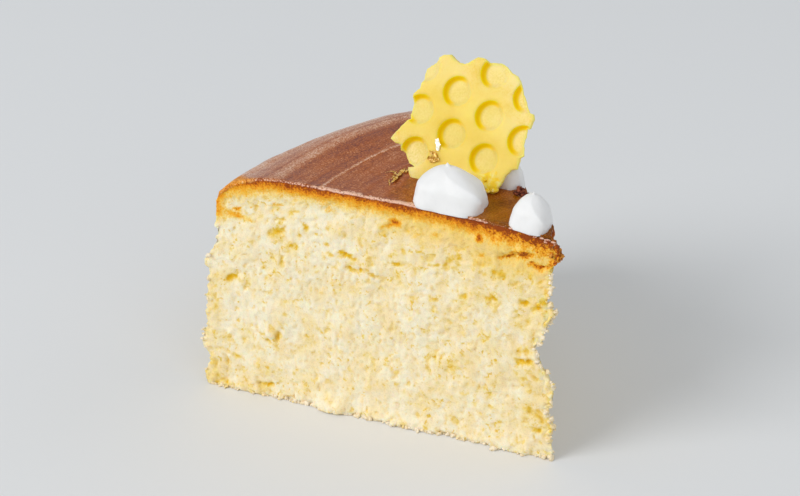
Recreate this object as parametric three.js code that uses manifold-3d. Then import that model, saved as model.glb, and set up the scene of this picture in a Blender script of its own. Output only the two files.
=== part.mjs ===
// A slice of jiggly cheesecake: a seventh of a round souffle cheesecake, with a broken honeycomb disc
// of yellow chocolate and three meringue kisses standing on its glazed top.
//
// Millimetres, +Z up. The slice points to -Y and its baked side faces +Y, so that the X = 0 plane
// halves the wedge. The origin is the middle of the footprint, on the plane the cake rests on.

import * as THREE from 'three';
import { mergeVertices } from 'three/addons/utils/BufferGeometryUtils.js';
import Module from 'manifold-3d';

// Cake
const cakeRadius = 100;          // of the whole cake at its foot
const slicesPerCake = 7;
const cakeHeight = 64.4;         // of the level part of the top
const rimWidth = 19.4;           // the rounded rim, measured along the radius
const rimDrop = 10.6;            // the rounded rim, measured down
const rimBreak = 0.72;           // share of the rim's width that belongs to the top
const rimSway = 0.65;            // how far the rim rises and falls along the side
const wallLean = 0.055;          // the side leans in by this much for each millimetre of height
const waistFoot = 32;            // and steps in between these two heights, where the cake shrank
const waistHead = 50;
const waistDepth = 2.7;
const tipSink = 2.9;             // how far the glazed top falls towards the tip
const tipSinkReach = 16;
const tipStart = 0.9;            // the tip is torn off this far from the centre of the cake
const tipSkew = 3.2;             // how much deeper the bites run on the +X cut than on the -X cut
const tipBites = [               // height, depth and half height of each bite torn from the tip
  { height: 30.5, depth: 5.2, reach: 4.6 },
  { height: 45, depth: 2.6, reach: 1.8 },
  { height: 51.5, depth: 1.4, reach: 2.6 },
  { height: 13.8, depth: 1.5, reach: 1.7 },
  { height: 63, depth: 0.9, reach: 1.6 },
];
const tipCrags = [               // lumps that stand out of the torn tip: centre, then radius
  [0.2, -47.7, 58.2, 2.1],
  [-0.6, -47.2, 55.6, 1.5],
  [0.2, -47.6, 41.9, 1.8],
  [-0.2, -48.0, 21.4, 1.5],
  [0.3, -48.3, 17.6, 1.3],
  [0.1, -48.2, 9.4, 1.6],
  [0.1, -48.0, 2.2, 1.9],
  [-3.4, -44.2, 1.9, 1.9],
];
const cornerCrags = [            // lumps on the two corners of the side: which cut, height, radius
  [-1, 3.2, 1.6], [-1, 13.2, 1.5], [-1, 29.8, 1.2], [-1, 37.6, 1.7], [-1, 43.4, 1.1],
  [1, 2.6, 1.5], [1, 9.5, 1.2], [1, 20.4, 1.7], [1, 33.1, 1.3], [1, 41.2, 1.4],
];
const lumpSunk = 0.55;           // share of its radius by which a corner lump sits inside the corner

// Relief of the two cut faces
const lumpSize = 9;
const lumpDepth = 0.75;
const cragSize = 4.2;
const cragDepth = 0.55;
const crustDepth = 3;            // browned layer under the glaze
const crustLip = 0.7;            // how far that layer stands proud of the crumb
const tipCalm = 12;              // the relief fades out within this distance of the tip
const shownCracks = [            // from the tip and up from the base, both ends, then size
  { from: [21, 57.5], to: [9, 55.3], reach: 1.7, depth: 1.9 },
  { from: [66, 46.4], to: [51, 43.9], reach: 1.9, depth: 1.3 },
  { from: [42, 47.5], to: [29, 49], reach: 1.5, depth: 0.9 },
  { from: [93.5, 52.4], to: [84, 50.6], reach: 1.6, depth: 1.0 },
  { from: [12, 28.6], to: [6, 25.5], reach: 2.1, depth: 1.5 },
  { from: [11, 43.2], to: [5, 42.8], reach: 1.6, depth: 1.1 },
  { from: [91.5, 33.8], to: [90.5, 33.8], reach: 2.0, depth: 1.6 },
  { from: [82.5, 3.8], to: [81.5, 3.8], reach: 2.2, depth: 1.3 },
];
const shownLobes = [
  { from: [64, 1], to: [58, 1.5], reach: 3.2, depth: 2.6 },
  { from: [52, 0.5], to: [34, 1], reach: 2.8, depth: 1.2 },
  { from: [20, 1], to: [8, 2], reach: 3.0, depth: 1.3 },
  { from: [89, 0.5], to: [86, 1], reach: 2.6, depth: 1.2 },
];
const hiddenCrackCount = 8;      // on the other cut, drawn by a seeded rule
const hiddenLobeCount = 4;

// Honeycomb disc
const discThickness = 2.8;
const discLean = 28.6;           // degrees back from upright
const discTurn = -66;            // degrees about Z, which sets it parallel to the -X cut
const discFoot = [2.9, -22.1, 64.2];
const cellPitch = 10.9;
const cellTurn = -25.6;          // degrees of the cell rows against the disc's lower edge
const cellOrigin = [-14.8, 23.6];
const cellMouth = 4.05;          // radius of a cell at the face
const cellFloor = 3.1;           // and at its floor
const cellDepth = 2.0;
const openCells = ['0,-1', '2,1'];       // cells whose floor broke away, by their place in the rows
const discOutline = [            // from the left spike, round under the disc and back over its top
  [-30.6, 8.4], [-28.7, 7.6], [-27.1, 7.4], [-26.9, 6.0], [-26.0, 5.5], [-25.3, 4.2], [-24.2, 3.0],
  [-22.3, 2.6], [-23.9, 2.0], [-23.2, 0.2], [-22.2, -0.6],
  [-14, -0.7], [-6, -0.4], [-3.1, 0.2], [-1.2, -0.2], [0, -0.4], [0.7, 0.8], [1.5, 2.0], [2.2, 4.3],
  [3.4, 6.2], [4.9, 6.7], [5.1, 9.6], [5.9, 10.2], [5.3, 12.9], [5.4, 14.9], [5.3, 17.0], [6.1, 17.3],
  [6.6, 19.6], [6.2, 20.9], [5.0, 21.0], [4.0, 22.8], [2.8, 24.9], [1.6, 27.5], [1.0, 28.6],
  [0, 29.4], [-1.8, 30.3], [-3.4, 31.5], [-5.2, 32.1], [-8.3, 31.8], [-9.6, 32.6], [-11.3, 32.6],
  [-12.5, 31.8], [-13.4, 30.9], [-14.6, 30.3], [-16.2, 30.4], [-17.6, 31.3], [-18.8, 32.2],
  [-20.6, 31.8], [-21.6, 31.0], [-21.8, 30.2], [-23.2, 29.2], [-24.8, 27.6], [-25.2, 26.3],
  [-24.9, 24.6], [-25.3, 22.2], [-26.6, 20.8], [-26.8, 19.6], [-26.6, 17.4], [-26.8, 15.4],
  [-26.3, 14.4], [-28.7, 11.2], [-30.4, 9.3],
];

// Meringue kisses: centre, half length and half width at the bulge, the way the length lies in
// degrees about Z, height, how square the oval is, and how far the peak leans in X and Y
const meringueLarge = {
  centre: [-8.7, -19.1], half: [8.9, 6.1], turn: 115.7, height: 10.8, squareness: 2.7,
  peak: [-0.2, 1.1], ridgeAt: -20, ridgeTwist: 62, ridgeHeight: 0.16, seed: 3,
};
const meringueTip = {
  centre: [-0.3, -39.1], half: [5.2, 5.2], turn: 115.7, height: 8.4, squareness: 2.2,
  peak: [0.9, 0.1], ridgeAt: -45, ridgeTwist: 20, ridgeHeight: 0.12, seed: 5,
};
const meringueBack = {
  centre: [10.5, -20.2], half: [4.0, 3.9], turn: 60, height: 8.4, squareness: 2,
  peak: [0.2, 0.2], ridgeAt: 40, ridgeTwist: 30, ridgeHeight: 0.1, seed: 8,
};
const kissFoot = 0.93;           // a kiss's foot against its bulge
const kissBulgeAt = 0.2;         // share of the height at which a kiss is widest
const restingGap = 0.35;         // between pieces that touch

// Gold leaf: where each scrap lies (on the glaze in X and Y, on the disc in its own plane), how long
// and wide it is, and how it is turned in radians
const leafThickness = 0.5;
const leafBuckle = 0.25;
const glazeLeaf = { at: [-8.8, 2.2], length: 9.6, width: 2.2, turn: 1.28, seed: 33 };
const discLeaf = { at: [-17.6, 5.4], length: 4.4, width: 2.6, turn: 0.9, seed: 21 };

// Facets
const acrossFacets = 10;         // over the wedge's angle
const outFacets = 29;            // from the tip to the side
const upFacets = 22;             // up a cut face
const tipAndRimCrowding = 0.045; // how much finer the facets get towards the tip and the rim
const topCrowding = 0.1;         // and towards the browned top
const cellFacets = 20;
const kissFacets = 22;           // round a kiss
const kissRings = 10;            // up a kiss

const wasm = await Module();
wasm.setup();

const degrees = Math.PI / 180;
const halfAngle = Math.PI / slicesPerCake;
const tip = new THREE.Vector3(0, -cakeRadius / 2, 0);      // the axis of the whole cake

const lerp = (a, b, t) => a + (b - a) * t;
const smooth = (from, to, x) => {
  const t = Math.min(1, Math.max(0, (x - from) / (to - from)));
  return t * t * (3 - 2 * t);
};
const bump = (x) => Math.exp(-x * x);

// Repeatable lattice value between -1 and 1, and the smooth field that runs through such values.
function latticeValue(x, y, seed) {
  let h = Math.imul(x, 374761393) + Math.imul(y, 668265263) + Math.imul(seed, 1274126177);
  h = Math.imul(h ^ (h >>> 13), 1274126177);
  return ((h ^ (h >>> 16)) >>> 0) / 2147483648 - 1;
}
function smoothField(x, y, seed) {
  const x0 = Math.floor(x);
  const y0 = Math.floor(y);
  const tx = smooth(0, 1, x - x0);
  const ty = smooth(0, 1, y - y0);
  const low = lerp(latticeValue(x0, y0, seed), latticeValue(x0 + 1, y0, seed), tx);
  const high = lerp(latticeValue(x0, y0 + 1, seed), latticeValue(x0 + 1, y0 + 1, seed), tx);
  return lerp(low, high, ty);
}

// Profile of the slice, in the plane through the cake's axis: r from the axis, z from the base.
const sideRadius = (z) => cakeRadius - wallLean * z - waistDepth * smooth(waistFoot, waistHead, z);
const rimFoot = cakeHeight - rimDrop;
const rimRadius = sideRadius(rimFoot);
const rimBreakRadius = rimRadius - rimWidth * (1 - rimBreak);
function wallRadius(z) {
  if (z <= rimFoot) {
    return sideRadius(z);
  }
  const up = Math.min(1, (z - rimFoot) / rimDrop);
  return Math.max(rimBreakRadius, rimRadius - rimWidth * (1 - Math.sqrt(1 - up * up)));
}
function topHeight(r, across = 0) {
  const over = Math.max(0, (r - rimRadius + rimWidth) / rimWidth);
  const rim = rimDrop * (1 - Math.sqrt(1 - Math.min(1, over * over)));
  const sway = -rimSway * Math.sin(1.25 * Math.PI * (across + 1)) * smooth(0.3, 0.9, r / cakeRadius);
  return cakeHeight - rim - tipSink * Math.exp(-r / tipSinkReach) + sway;
}
function tipRadius(across, z) {
  let bite = 0;
  for (const { height, depth, reach } of tipBites) {
    bite += depth * bump((z - height) / reach);
  }
  return tipStart + bite * lerp(1, tipSkew, (across + 1) / 2);
}
// Height of the glaze over a point of the plan.
function glazeHeight(x, y) {
  const angle = Math.atan2(x - tip.x, y - tip.y);
  const across = Math.min(1, Math.max(-1, angle / halfAngle));
  return topHeight(Math.hypot(x - tip.x, y - tip.y), across);
}

// Relief of a cut face, outwards. r runs along the cut, z up.
function markField(marks, r, z) {
  let sum = 0;
  for (const { from, to, reach, depth } of marks) {
    const run = new THREE.Vector2(to[0] - from[0], to[1] - from[1]);
    const point = new THREE.Vector2(r - from[0], z - from[1]);
    const along = Math.min(1, Math.max(0, point.dot(run) / run.lengthSq()));
    sum += depth * bump(point.distanceTo(run.multiplyScalar(along)) / reach);
  }
  return sum;
}
function drawnMarks(count, seed, low, high, length, reach, depth) {
  return Array.from({ length: count }, (_, i) => {
    const r = lerp(16, 90, (i + 0.5 + 0.4 * latticeValue(i, 1, seed)) / count);
    const z = lerp(low, high, 0.5 + 0.5 * latticeValue(i, 2, seed));
    const run = length * (0.7 + 0.3 * latticeValue(i, 3, seed));
    return { from: [r, z], to: [r - run, z + 0.12 * run * latticeValue(i, 4, seed)], reach, depth };
  });
}
const cuts = {
  shown: { seed: 11, cracks: shownCracks, lobes: shownLobes },
  hidden: {
    seed: 47,
    cracks: drawnMarks(hiddenCrackCount, 7, 8, 58, 9, 1.8, 1.3),
    lobes: drawnMarks(hiddenLobeCount, 9, 0, 2, 10, 3, 1.4),
  },
};
function cutRelief({ seed, cracks, lobes }, r, z) {
  const lumps = lumpDepth * smoothField(r / lumpSize, z / lumpSize, seed);
  const crags = cragDepth * smoothField(r / cragSize, z / cragSize, seed + 1);
  const crustFoot = topHeight(r, -1) - crustDepth;
  const lip = crustLip * smooth(crustFoot - 1.5, crustFoot, z);
  const calm = smooth(0, tipCalm, r) * smooth(cakeRadius, cakeRadius - 8, r);
  return calm * (lumps + crags) + smooth(1, 5, r) * lip
    + markField(lobes, r, z) * smooth(2, 8, r) - markField(cracks, r, z) * smooth(1, 6, r);
}

// A point of the slice from three shares: across from the -X cut (-1) to the +X cut (1), out from
// the tip (0) to the side (1), and up from the base (0) to the top (1).
function slicePoint(across, out, up) {
  const topRadius = lerp(tipRadius(across, cakeHeight), rimBreakRadius, out);
  const z = up * topHeight(topRadius, across);
  const r = lerp(tipRadius(across, z), wallRadius(z), out);
  const angle = across * halfAngle;
  const point = new THREE.Vector3(r * Math.sin(angle), r * Math.cos(angle), z).add(tip);
  if (Math.abs(across) === 1) {
    const outward = new THREE.Vector3(across * Math.cos(halfAngle), -Math.sin(halfAngle), 0);
    const cut = across < 0 ? cuts.shown : cuts.hidden;
    point.addScaledVector(outward, cutRelief(cut, r, z));
  }
  return point;
}

// Closed geometry from loose triangles, each wound so that it faces out.
function closedGeometry(triangles) {
  const geometry = new THREE.BufferGeometry().setFromPoints(triangles.flat());
  return mergeVertices(geometry, 1e-4);
}
function patch(triangles, rows, columns, place, flip) {
  for (let i = 0; i + 1 < rows.length; i += 1) {
    for (let j = 0; j + 1 < columns.length; j += 1) {
      const a = place(rows[i], columns[j]);
      const b = place(rows[i + 1], columns[j]);
      const c = place(rows[i + 1], columns[j + 1]);
      const d = place(rows[i], columns[j + 1]);
      const pair = (i + j) % 2 ? [[a, b, c], [a, c, d]] : [[a, b, d], [b, c, d]];
      triangles.push(...(flip ? pair.map((t) => t.reverse()) : pair));
    }
  }
}
const steps = (count, ease) => Array.from({ length: count + 1 }, (_, i) => ease(i / count));

function cakeSlice() {
  const acrossSteps = steps(acrossFacets, (t) => 2 * t - 1);
  const outSteps = steps(outFacets, (t) => t + tipAndRimCrowding * Math.sin(2 * Math.PI * t));
  const upSteps = steps(upFacets, (t) => t + topCrowding * Math.sin(Math.PI * t));
  const triangles = [];
  patch(triangles, outSteps, upSteps, (out, up) => slicePoint(-1, out, up), true);
  patch(triangles, outSteps, upSteps, (out, up) => slicePoint(1, out, up), false);
  patch(triangles, acrossSteps, upSteps, (across, up) => slicePoint(across, 0, up), false);
  patch(triangles, acrossSteps, upSteps, (across, up) => slicePoint(across, 1, up), true);
  patch(triangles, acrossSteps, outSteps, (across, out) => slicePoint(across, out, 1), false);

  const foot = [
    ...acrossSteps.map((across) => slicePoint(across, 0, 0)),
    ...outSteps.slice(1, -1).map((out) => slicePoint(1, out, 0)),
    ...acrossSteps.map((across) => slicePoint(-across, 1, 0)),
    ...outSteps.slice(1, -1).reverse().map((out) => slicePoint(-1, out, 0)),
  ];
  const flat = foot.map((p) => new THREE.Vector2(p.x, p.y));
  for (const [a, b, c] of THREE.ShapeUtils.triangulateShape(flat, [])) {
    const turn = flat[b].clone().sub(flat[a]).cross(flat[c].clone().sub(flat[a]));
    triangles.push(turn < 0 ? [foot[a], foot[b], foot[c]] : [foot[a], foot[c], foot[b]]);
  }
  return closedGeometry(triangles);
}

// Joins and cuts.
function toSolid(geometry) {
  const bare = geometry.clone();
  bare.deleteAttribute('normal');
  bare.deleteAttribute('uv');
  const merged = mergeVertices(bare, 1e-4);
  return new wasm.Manifold(new wasm.Mesh({
    numProp: 3,
    vertProperties: new Float32Array(merged.attributes.position.array),
    triVerts: new Uint32Array(merged.index.array),
  }));
}
function toGeometry(solid) {
  const { numProp, vertProperties, triVerts } = solid.getMesh();
  const position = new Float32Array(vertProperties.length / numProp * 3);
  for (let i = 0; i < position.length / 3; i += 1) {
    position.set(vertProperties.subarray(i * numProp, i * numProp + 3), i * 3);
  }
  const geometry = new THREE.BufferGeometry();
  geometry.setAttribute('position', new THREE.BufferAttribute(position, 3));
  geometry.setIndex(new THREE.BufferAttribute(new Uint32Array(triVerts), 1));
  return geometry;
}

// A scrap of gold leaf: a small buckled ribbon lying on the XY plane, a little sunk into it.
function goldScrap({ length, width, turn, seed }) {
  const leaf = new THREE.BoxGeometry(length, width, leafThickness * 2, 6, 2, 1);
  const position = leaf.attributes.position;
  for (let i = 0; i < position.count; i += 1) {
    const x = position.getX(i);
    const y = position.getY(i);
    const taper = 1 - 0.75 * Math.abs(2 * x / length) ** 1.6;
    const sway = 0.6 * smoothField(x / 2.5, 0.5, seed + 1);
    const lift = position.getZ(i) > 0 ? leafBuckle * smoothField(x, y, seed) : 0;
    position.setXYZ(i, x, y * taper + sway, position.getZ(i) + lift);
  }
  leaf.rotateZ(turn);
  return leaf;
}

// The honeycomb disc, in its own plane: X along the lower edge, Y up the face, Z out of the face.
const clearWidth = 80;           // of the blocks that cut what stands past a flat
const clearDepth = 20;
function cellCentre(column, row) {
  const across = cellTurn * degrees;
  const down = across - Math.PI / 3;
  return [
    cellOrigin[0] + cellPitch * (column * Math.cos(across) + row * Math.cos(down)),
    cellOrigin[1] + cellPitch * (column * Math.sin(across) + row * Math.sin(down)),
  ];
}
function honeycombDisc() {
  const outline = new THREE.Shape(discOutline.map(([x, y]) => new THREE.Vector2(x, y)));
  const slab = new THREE.ExtrudeGeometry(outline, { depth: discThickness, bevelEnabled: false });
  slab.translate(0, 0, -discThickness);
  let disc = toSolid(slab);

  const mouthOver = 0.5;
  const slope = (cellMouth - cellFloor) / cellDepth;
  for (let column = -2; column <= 3; column += 1) {
    for (let row = -2; row <= 4; row += 1) {
      const [x, y] = cellCentre(column, row);
      const depth = openCells.includes(`${column},${row}`) ? discThickness + mouthOver : cellDepth;
      const height = depth + mouthOver;
      const cell = new THREE.CylinderGeometry(
        cellMouth + slope * mouthOver, cellMouth - slope * depth, height, cellFacets);
      cell.rotateX(Math.PI / 2);
      cell.translate(x, y, mouthOver - height / 2);
      disc = disc.subtract(toSolid(cell));
    }
  }

  const scrap = goldScrap(discLeaf);
  scrap.translate(...discLeaf.at, 0);
  disc = disc.add(toSolid(scrap));

  // The foot is worn level, where the disc stands on the glaze.
  const ground = new THREE.BoxGeometry(clearWidth, clearWidth, clearDepth);
  ground.translate(0, 0, -clearDepth / 2);
  ground.rotateX(-(90 - discLean) * degrees);
  return toGeometry(disc.subtract(toSolid(ground)));
}

// A piped kiss: an oval mound whose ridge winds up to a small peak. Its foot follows the glaze.
function meringueKiss(kiss) {
  const { centre, half, turn, height, squareness, peak, ridgeAt, ridgeTwist, ridgeHeight, seed } = kiss;
  const around = kissFacets;
  const rings = kissRings;
  const onGlaze = (x, y, h) => new THREE.Vector3(
    x, y, h * height + restingGap + glazeHeight(centre[0] + x, centre[1] + y));
  const place = (ring, side) => {
    const h = ring / rings;
    const bulge = lerp(kissFoot, 1, smooth(0, kissBulgeAt, h));
    const climb = Math.max(0, (h - kissBulgeAt) / (1 - kissBulgeAt));
    const dome = Math.sqrt(1 - climb ** 2.3) * lerp(1, 0.6, smooth(0.5, 1, climb));
    const angle = side / around * 2 * Math.PI;
    const oval = (Math.abs(Math.cos(angle)) ** squareness + Math.abs(Math.sin(angle)) ** squareness)
      ** (-1 / squareness);
    const ridge = (ridgeAt + ridgeTwist * h) * degrees;
    const offRidge = Math.atan2(Math.sin(angle - ridge), Math.cos(angle - ridge));
    const swell = 1 + ridgeHeight * (0.3 - Math.abs(offRidge) / Math.PI) * smooth(0, 0.35, h)
      + 0.05 * smoothField(side * 0.7, ring * 0.5, seed);
    const r = bulge * dome * oval * swell;
    const flat = new THREE.Vector2(half[0] * r * Math.cos(angle), half[1] * r * Math.sin(angle));
    flat.rotateAround(new THREE.Vector2(), turn * degrees);
    return onGlaze(flat.x + peak[0] * h * h, flat.y + peak[1] * h * h, h);
  };
  const triangles = [];
  const foot = onGlaze(0, 0, 0);
  const top = onGlaze(peak[0], peak[1], 1);
  for (let side = 0; side < around; side += 1) {
    const next = (side + 1) % around;
    triangles.push([foot, place(0, next), place(0, side)]);
    for (let ring = 0; ring < rings - 1; ring += 1) {
      const a = place(ring, side);
      const b = place(ring, next);
      const c = place(ring + 1, next);
      const d = place(ring + 1, side);
      triangles.push([a, b, c], [a, c, d]);
    }
    triangles.push([place(rings - 1, side), place(rings - 1, next), top]);
  }
  return closedGeometry(triangles);
}

// A lump of crumb or browned crust standing out of the tear.
function crag([x, y, z, radius], seed) {
  const lump = new THREE.IcosahedronGeometry(radius, 1);
  const position = lump.attributes.position;
  const point = new THREE.Vector3();
  for (let i = 0; i < position.count; i += 1) {
    point.fromBufferAttribute(position, i);
    const swell = 1 + 0.22 * smoothField(point.x * 0.9 + point.z, point.y * 0.9 - point.z, seed);
    point.multiplyScalar(swell);
    position.setXYZ(i, point.x + x, point.y + y, Math.max(0.05, point.z + z));
  }
  return lump;
}

function finished(name, geometry, color, roughness) {
  geometry.computeVertexNormals();
  const mesh = new THREE.Mesh(geometry, new THREE.MeshStandardMaterial({ color, roughness, metalness: 0 }));
  mesh.name = name;
  return mesh;
}

function placedKiss(name, kiss) {
  const mesh = finished(name, meringueKiss(kiss), 0xf3f4f4, 0.7);
  mesh.position.set(kiss.centre[0], kiss.centre[1], 0);
  return mesh;
}

const cheesecake = new THREE.Group();

const glazeScrap = goldScrap(glazeLeaf);
glazeScrap.translate(...glazeLeaf.at, glazeHeight(...glazeLeaf.at));
let body = toSolid(cakeSlice()).add(toSolid(glazeScrap));
const cornerLumps = cornerCrags.map(([side, z, radius]) => {
  const r = sideRadius(z) - lumpSunk * radius;
  return [side * r * Math.sin(halfAngle), tip.y + r * Math.cos(halfAngle), z, radius];
});
[...tipCrags, ...cornerLumps].forEach((lump, i) => {
  body = body.add(toSolid(crag(lump, 60 + i)));
});
cheesecake.add(finished('cake_slice', toGeometry(body), 0xf2deaa, 0.85));

const disc = finished('honeycomb_disc', honeycombDisc(), 0xf5dc78, 0.45);
disc.rotation.x = (90 - discLean) * degrees;
const discStand = new THREE.Group();
discStand.position.set(discFoot[0], discFoot[1], discFoot[2] + restingGap);
discStand.rotation.z = discTurn * degrees;
discStand.add(disc);
cheesecake.add(discStand);

cheesecake.add(placedKiss('meringue_large', meringueLarge));
cheesecake.add(placedKiss('meringue_tip', meringueTip));

// The disc leans on the back kiss, which is pressed flat there.
const backKiss = placedKiss('meringue_back', meringueBack);
backKiss.updateMatrixWorld();
discStand.updateMatrixWorld();
const discRoom = new THREE.BoxGeometry(clearWidth, clearWidth, clearDepth);
discRoom.translate(0, 0, clearDepth / 2 - discThickness - restingGap);
discRoom.applyMatrix4(disc.matrixWorld);
discRoom.applyMatrix4(backKiss.matrixWorld.clone().invert());
backKiss.geometry = toGeometry(toSolid(backKiss.geometry).subtract(toSolid(discRoom)));
cheesecake.add(backKiss);

export default cheesecake;
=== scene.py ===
import math
from itertools import product

import bmesh
import bpy
import numpy as np
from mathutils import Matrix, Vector
from mathutils.geometry import delaunay_2d_cdt


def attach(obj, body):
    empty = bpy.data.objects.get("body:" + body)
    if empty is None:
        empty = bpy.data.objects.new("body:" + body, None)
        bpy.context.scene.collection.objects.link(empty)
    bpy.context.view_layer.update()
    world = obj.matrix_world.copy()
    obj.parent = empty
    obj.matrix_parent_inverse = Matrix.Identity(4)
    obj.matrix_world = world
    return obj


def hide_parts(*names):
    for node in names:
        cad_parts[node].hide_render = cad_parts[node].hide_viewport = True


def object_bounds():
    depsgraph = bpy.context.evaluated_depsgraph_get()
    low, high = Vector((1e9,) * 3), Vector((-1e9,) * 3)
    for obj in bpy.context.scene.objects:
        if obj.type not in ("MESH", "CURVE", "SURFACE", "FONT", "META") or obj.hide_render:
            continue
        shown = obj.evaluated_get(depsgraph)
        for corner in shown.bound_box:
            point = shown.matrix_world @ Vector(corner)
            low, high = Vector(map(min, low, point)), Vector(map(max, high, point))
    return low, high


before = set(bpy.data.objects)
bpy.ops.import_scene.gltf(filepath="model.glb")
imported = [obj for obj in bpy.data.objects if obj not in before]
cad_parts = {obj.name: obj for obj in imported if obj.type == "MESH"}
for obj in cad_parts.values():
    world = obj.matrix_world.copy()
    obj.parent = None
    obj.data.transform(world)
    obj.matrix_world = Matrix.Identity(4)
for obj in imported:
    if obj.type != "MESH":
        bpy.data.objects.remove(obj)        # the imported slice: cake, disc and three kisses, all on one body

cadLow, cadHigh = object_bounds()
mm = 0.001               # shapes are worked out in millimetres and stored in metres
roomLow = np.array(cadLow) / mm + 0.02
roomHigh = np.array(cadHigh) / mm - 0.02
scene = bpy.context.scene
scene.view_settings.view_transform = "Standard"


def ease(low, high, x):
    t = np.clip((x - low) / (high - low), 0, 1)
    return t * t * (3 - 2 * t)


def mix(a, b, t):
    return a + (b - a) * t


def bell(x):
    return np.exp(-np.square(x))


stirs = np.array([374761393, 668265263, 2147483629, 1274126177, 2246822519])     # odd, to scatter the hash
word = 0xFFFFFFFF        # the hash keeps 32 bits


def lump(points, size, seed):
    # smooth noise in space, about -1 to 1, with lumps of this size; the same on every run
    points = np.asarray(points, float)
    spot = points.reshape(-1, 3) / size + 37.3
    cell = np.floor(spot).astype(np.int64)
    part = spot - cell
    eased = part * part * part * (part * (part * 6 - 15) + 10)
    total = np.zeros(len(spot))
    for corner in product((0, 1), repeat=3):
        h = ((cell + corner) @ stirs[:3] + seed * stirs[3]) & word
        h = ((h ^ (h >> 13)) * stirs[3]) & word
        h = ((h ^ (h >> 16)) * stirs[4]) & word
        h ^= h >> 15
        slope = np.stack([h & 1023, (h >> 10) & 1023, (h >> 20) & 1023], 1) / 511.5 - 1
        share = np.prod(np.where(corner, eased, 1 - eased), 1)
        total += share * np.sum((part - corner) * slope, 1)
    return 1.5 * total.reshape(points.shape[:-1])


def plan(a, b):
    # a flat place for the noise
    return np.stack([a, b, np.zeros_like(a)], -1)


def toLine(x, y, line):
    # distance from points to a broken line
    best = np.full(np.shape(x), 1e9)
    for (ax, ay), (bx, by) in zip(line, line[1:]):
        dx, dy = bx - ax, by - ay
        t = np.clip(((x - ax) * dx + (y - ay) * dy) / (dx * dx + dy * dy + 1e-9), 0, 1)
        best = np.minimum(best, np.hypot(x - ax - t * dx, y - ay - t * dy))
    return best


def tint(r, g, b):
    # a colour picked on screen, 0 to 255, as the shader's own numbers
    def one(v):
        v /= 255
        return v / 12.92 if v <= 0.04045 else ((v + 0.055) / 1.055) ** 2.4
    return (one(r), one(g), one(b), 1.0)


class Wire:
    # one output of a node; sums, differences and products with it add Math nodes
    def __init__(self, finish, socket):
        self.finish, self.socket = finish, socket

    def calc(self, operation, *values):
        return self.finish.add("ShaderNodeMath", {"operation": operation}, dict(enumerate(values)))

    def __add__(self, other):
        return self.calc("ADD", self, other)

    def __radd__(self, other):
        return self.calc("ADD", other, self)

    def __sub__(self, other):
        return self.calc("SUBTRACT", self, other)

    def __rsub__(self, other):
        return self.calc("SUBTRACT", other, self)

    def __mul__(self, other):
        return self.calc("MULTIPLY", self, other)

    def __rmul__(self, other):
        return self.calc("MULTIPLY", other, self)


class Finish:
    # one material: a Principled shader and the nodes that feed it
    def __init__(self, name, settings):
        self.material = bpy.data.materials.new(name)
        self.material.use_nodes = True
        self.tree = self.material.node_tree
        self.tree.nodes.clear()
        self.output = self.tree.nodes.new("ShaderNodeOutputMaterial")
        self.shader = self.tree.nodes.new("ShaderNodeBsdfPrincipled")
        self.tree.links.new(self.shader.outputs[0], self.output.inputs["Surface"])
        self.feed(self.shader, settings)

    def feed(self, node, values):
        for key, value in values.items():
            if isinstance(value, Wire):
                self.tree.links.new(value.socket, node.inputs[key])
            elif value is not None:
                node.inputs[key].default_value = value

    def add(self, kind, settings=None, values=None, out=0):
        node = self.tree.nodes.new(kind)
        for key, value in (settings or {}).items():
            if key == "stops":
                ramp = node.color_ramp
                for position, colour in value[1:-1]:
                    ramp.elements.new(position).color = colour
                ends = (ramp.elements[0], value[0]), (ramp.elements[-1], value[-1])
                for element, (position, colour) in ends:
                    element.position, element.color = position, colour
            else:
                setattr(node, key, value)
        self.feed(node, values or {})
        return Wire(self, node.outputs[out])

    def value(self, name):
        # a number kept on the mesh's points
        return self.add("ShaderNodeAttribute", {"attribute_name": name}, out="Fac")

    def place(self):
        return self.add("ShaderNodeTexCoord", out="Object")

    def noise(self, size, detail=2.0, rough=0.5, at=None):
        # size in millimetres; centred on 0.5
        spot = at or self.place()
        values = {"Vector": spot, "Scale": 1 / (size * mm), "Detail": detail, "Roughness": rough}
        return self.add("ShaderNodeTexNoise", None, values, out="Fac")

    def ramp(self, factor, *stops):
        # each stop is a place and a colour picked on screen
        stops = [(place, tint(*colour)) for place, *colour in stops]
        return self.add("ShaderNodeValToRGB", {"stops": stops}, {"Fac": factor})

    def step(self, value, low, high):
        # 0 below low, 1 above high, eased between
        node = {"interpolation_type": "SMOOTHSTEP"}
        return self.add("ShaderNodeMapRange", node, {"Value": value, "From Min": low, "From Max": high})

    def blend(self, factor, a, b, how="MIX"):
        # 6 and 7 are the node's colour inputs, 2 its colour output
        node = {"data_type": "RGBA", "blend_type": how}
        return self.add("ShaderNodeMix", node, {"Factor": factor, 6: a, 7: b}, out=2)

    def bump(self, height, distance, strength, normal=None):
        values = {"Height": height, "Distance": distance * mm, "Strength": strength, "Normal": normal}
        return self.add("ShaderNodeBump", None, values)

    def wear(self, **feeds):
        # what changes over the surface
        names = {
            "baseColor": "Base Color", "roughness": "Roughness", "normal": "Normal", "coat": "Coat Weight",
        }
        self.feed(self.shader, {names[key]: value for key, value in feeds.items()})
        return self.material


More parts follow.
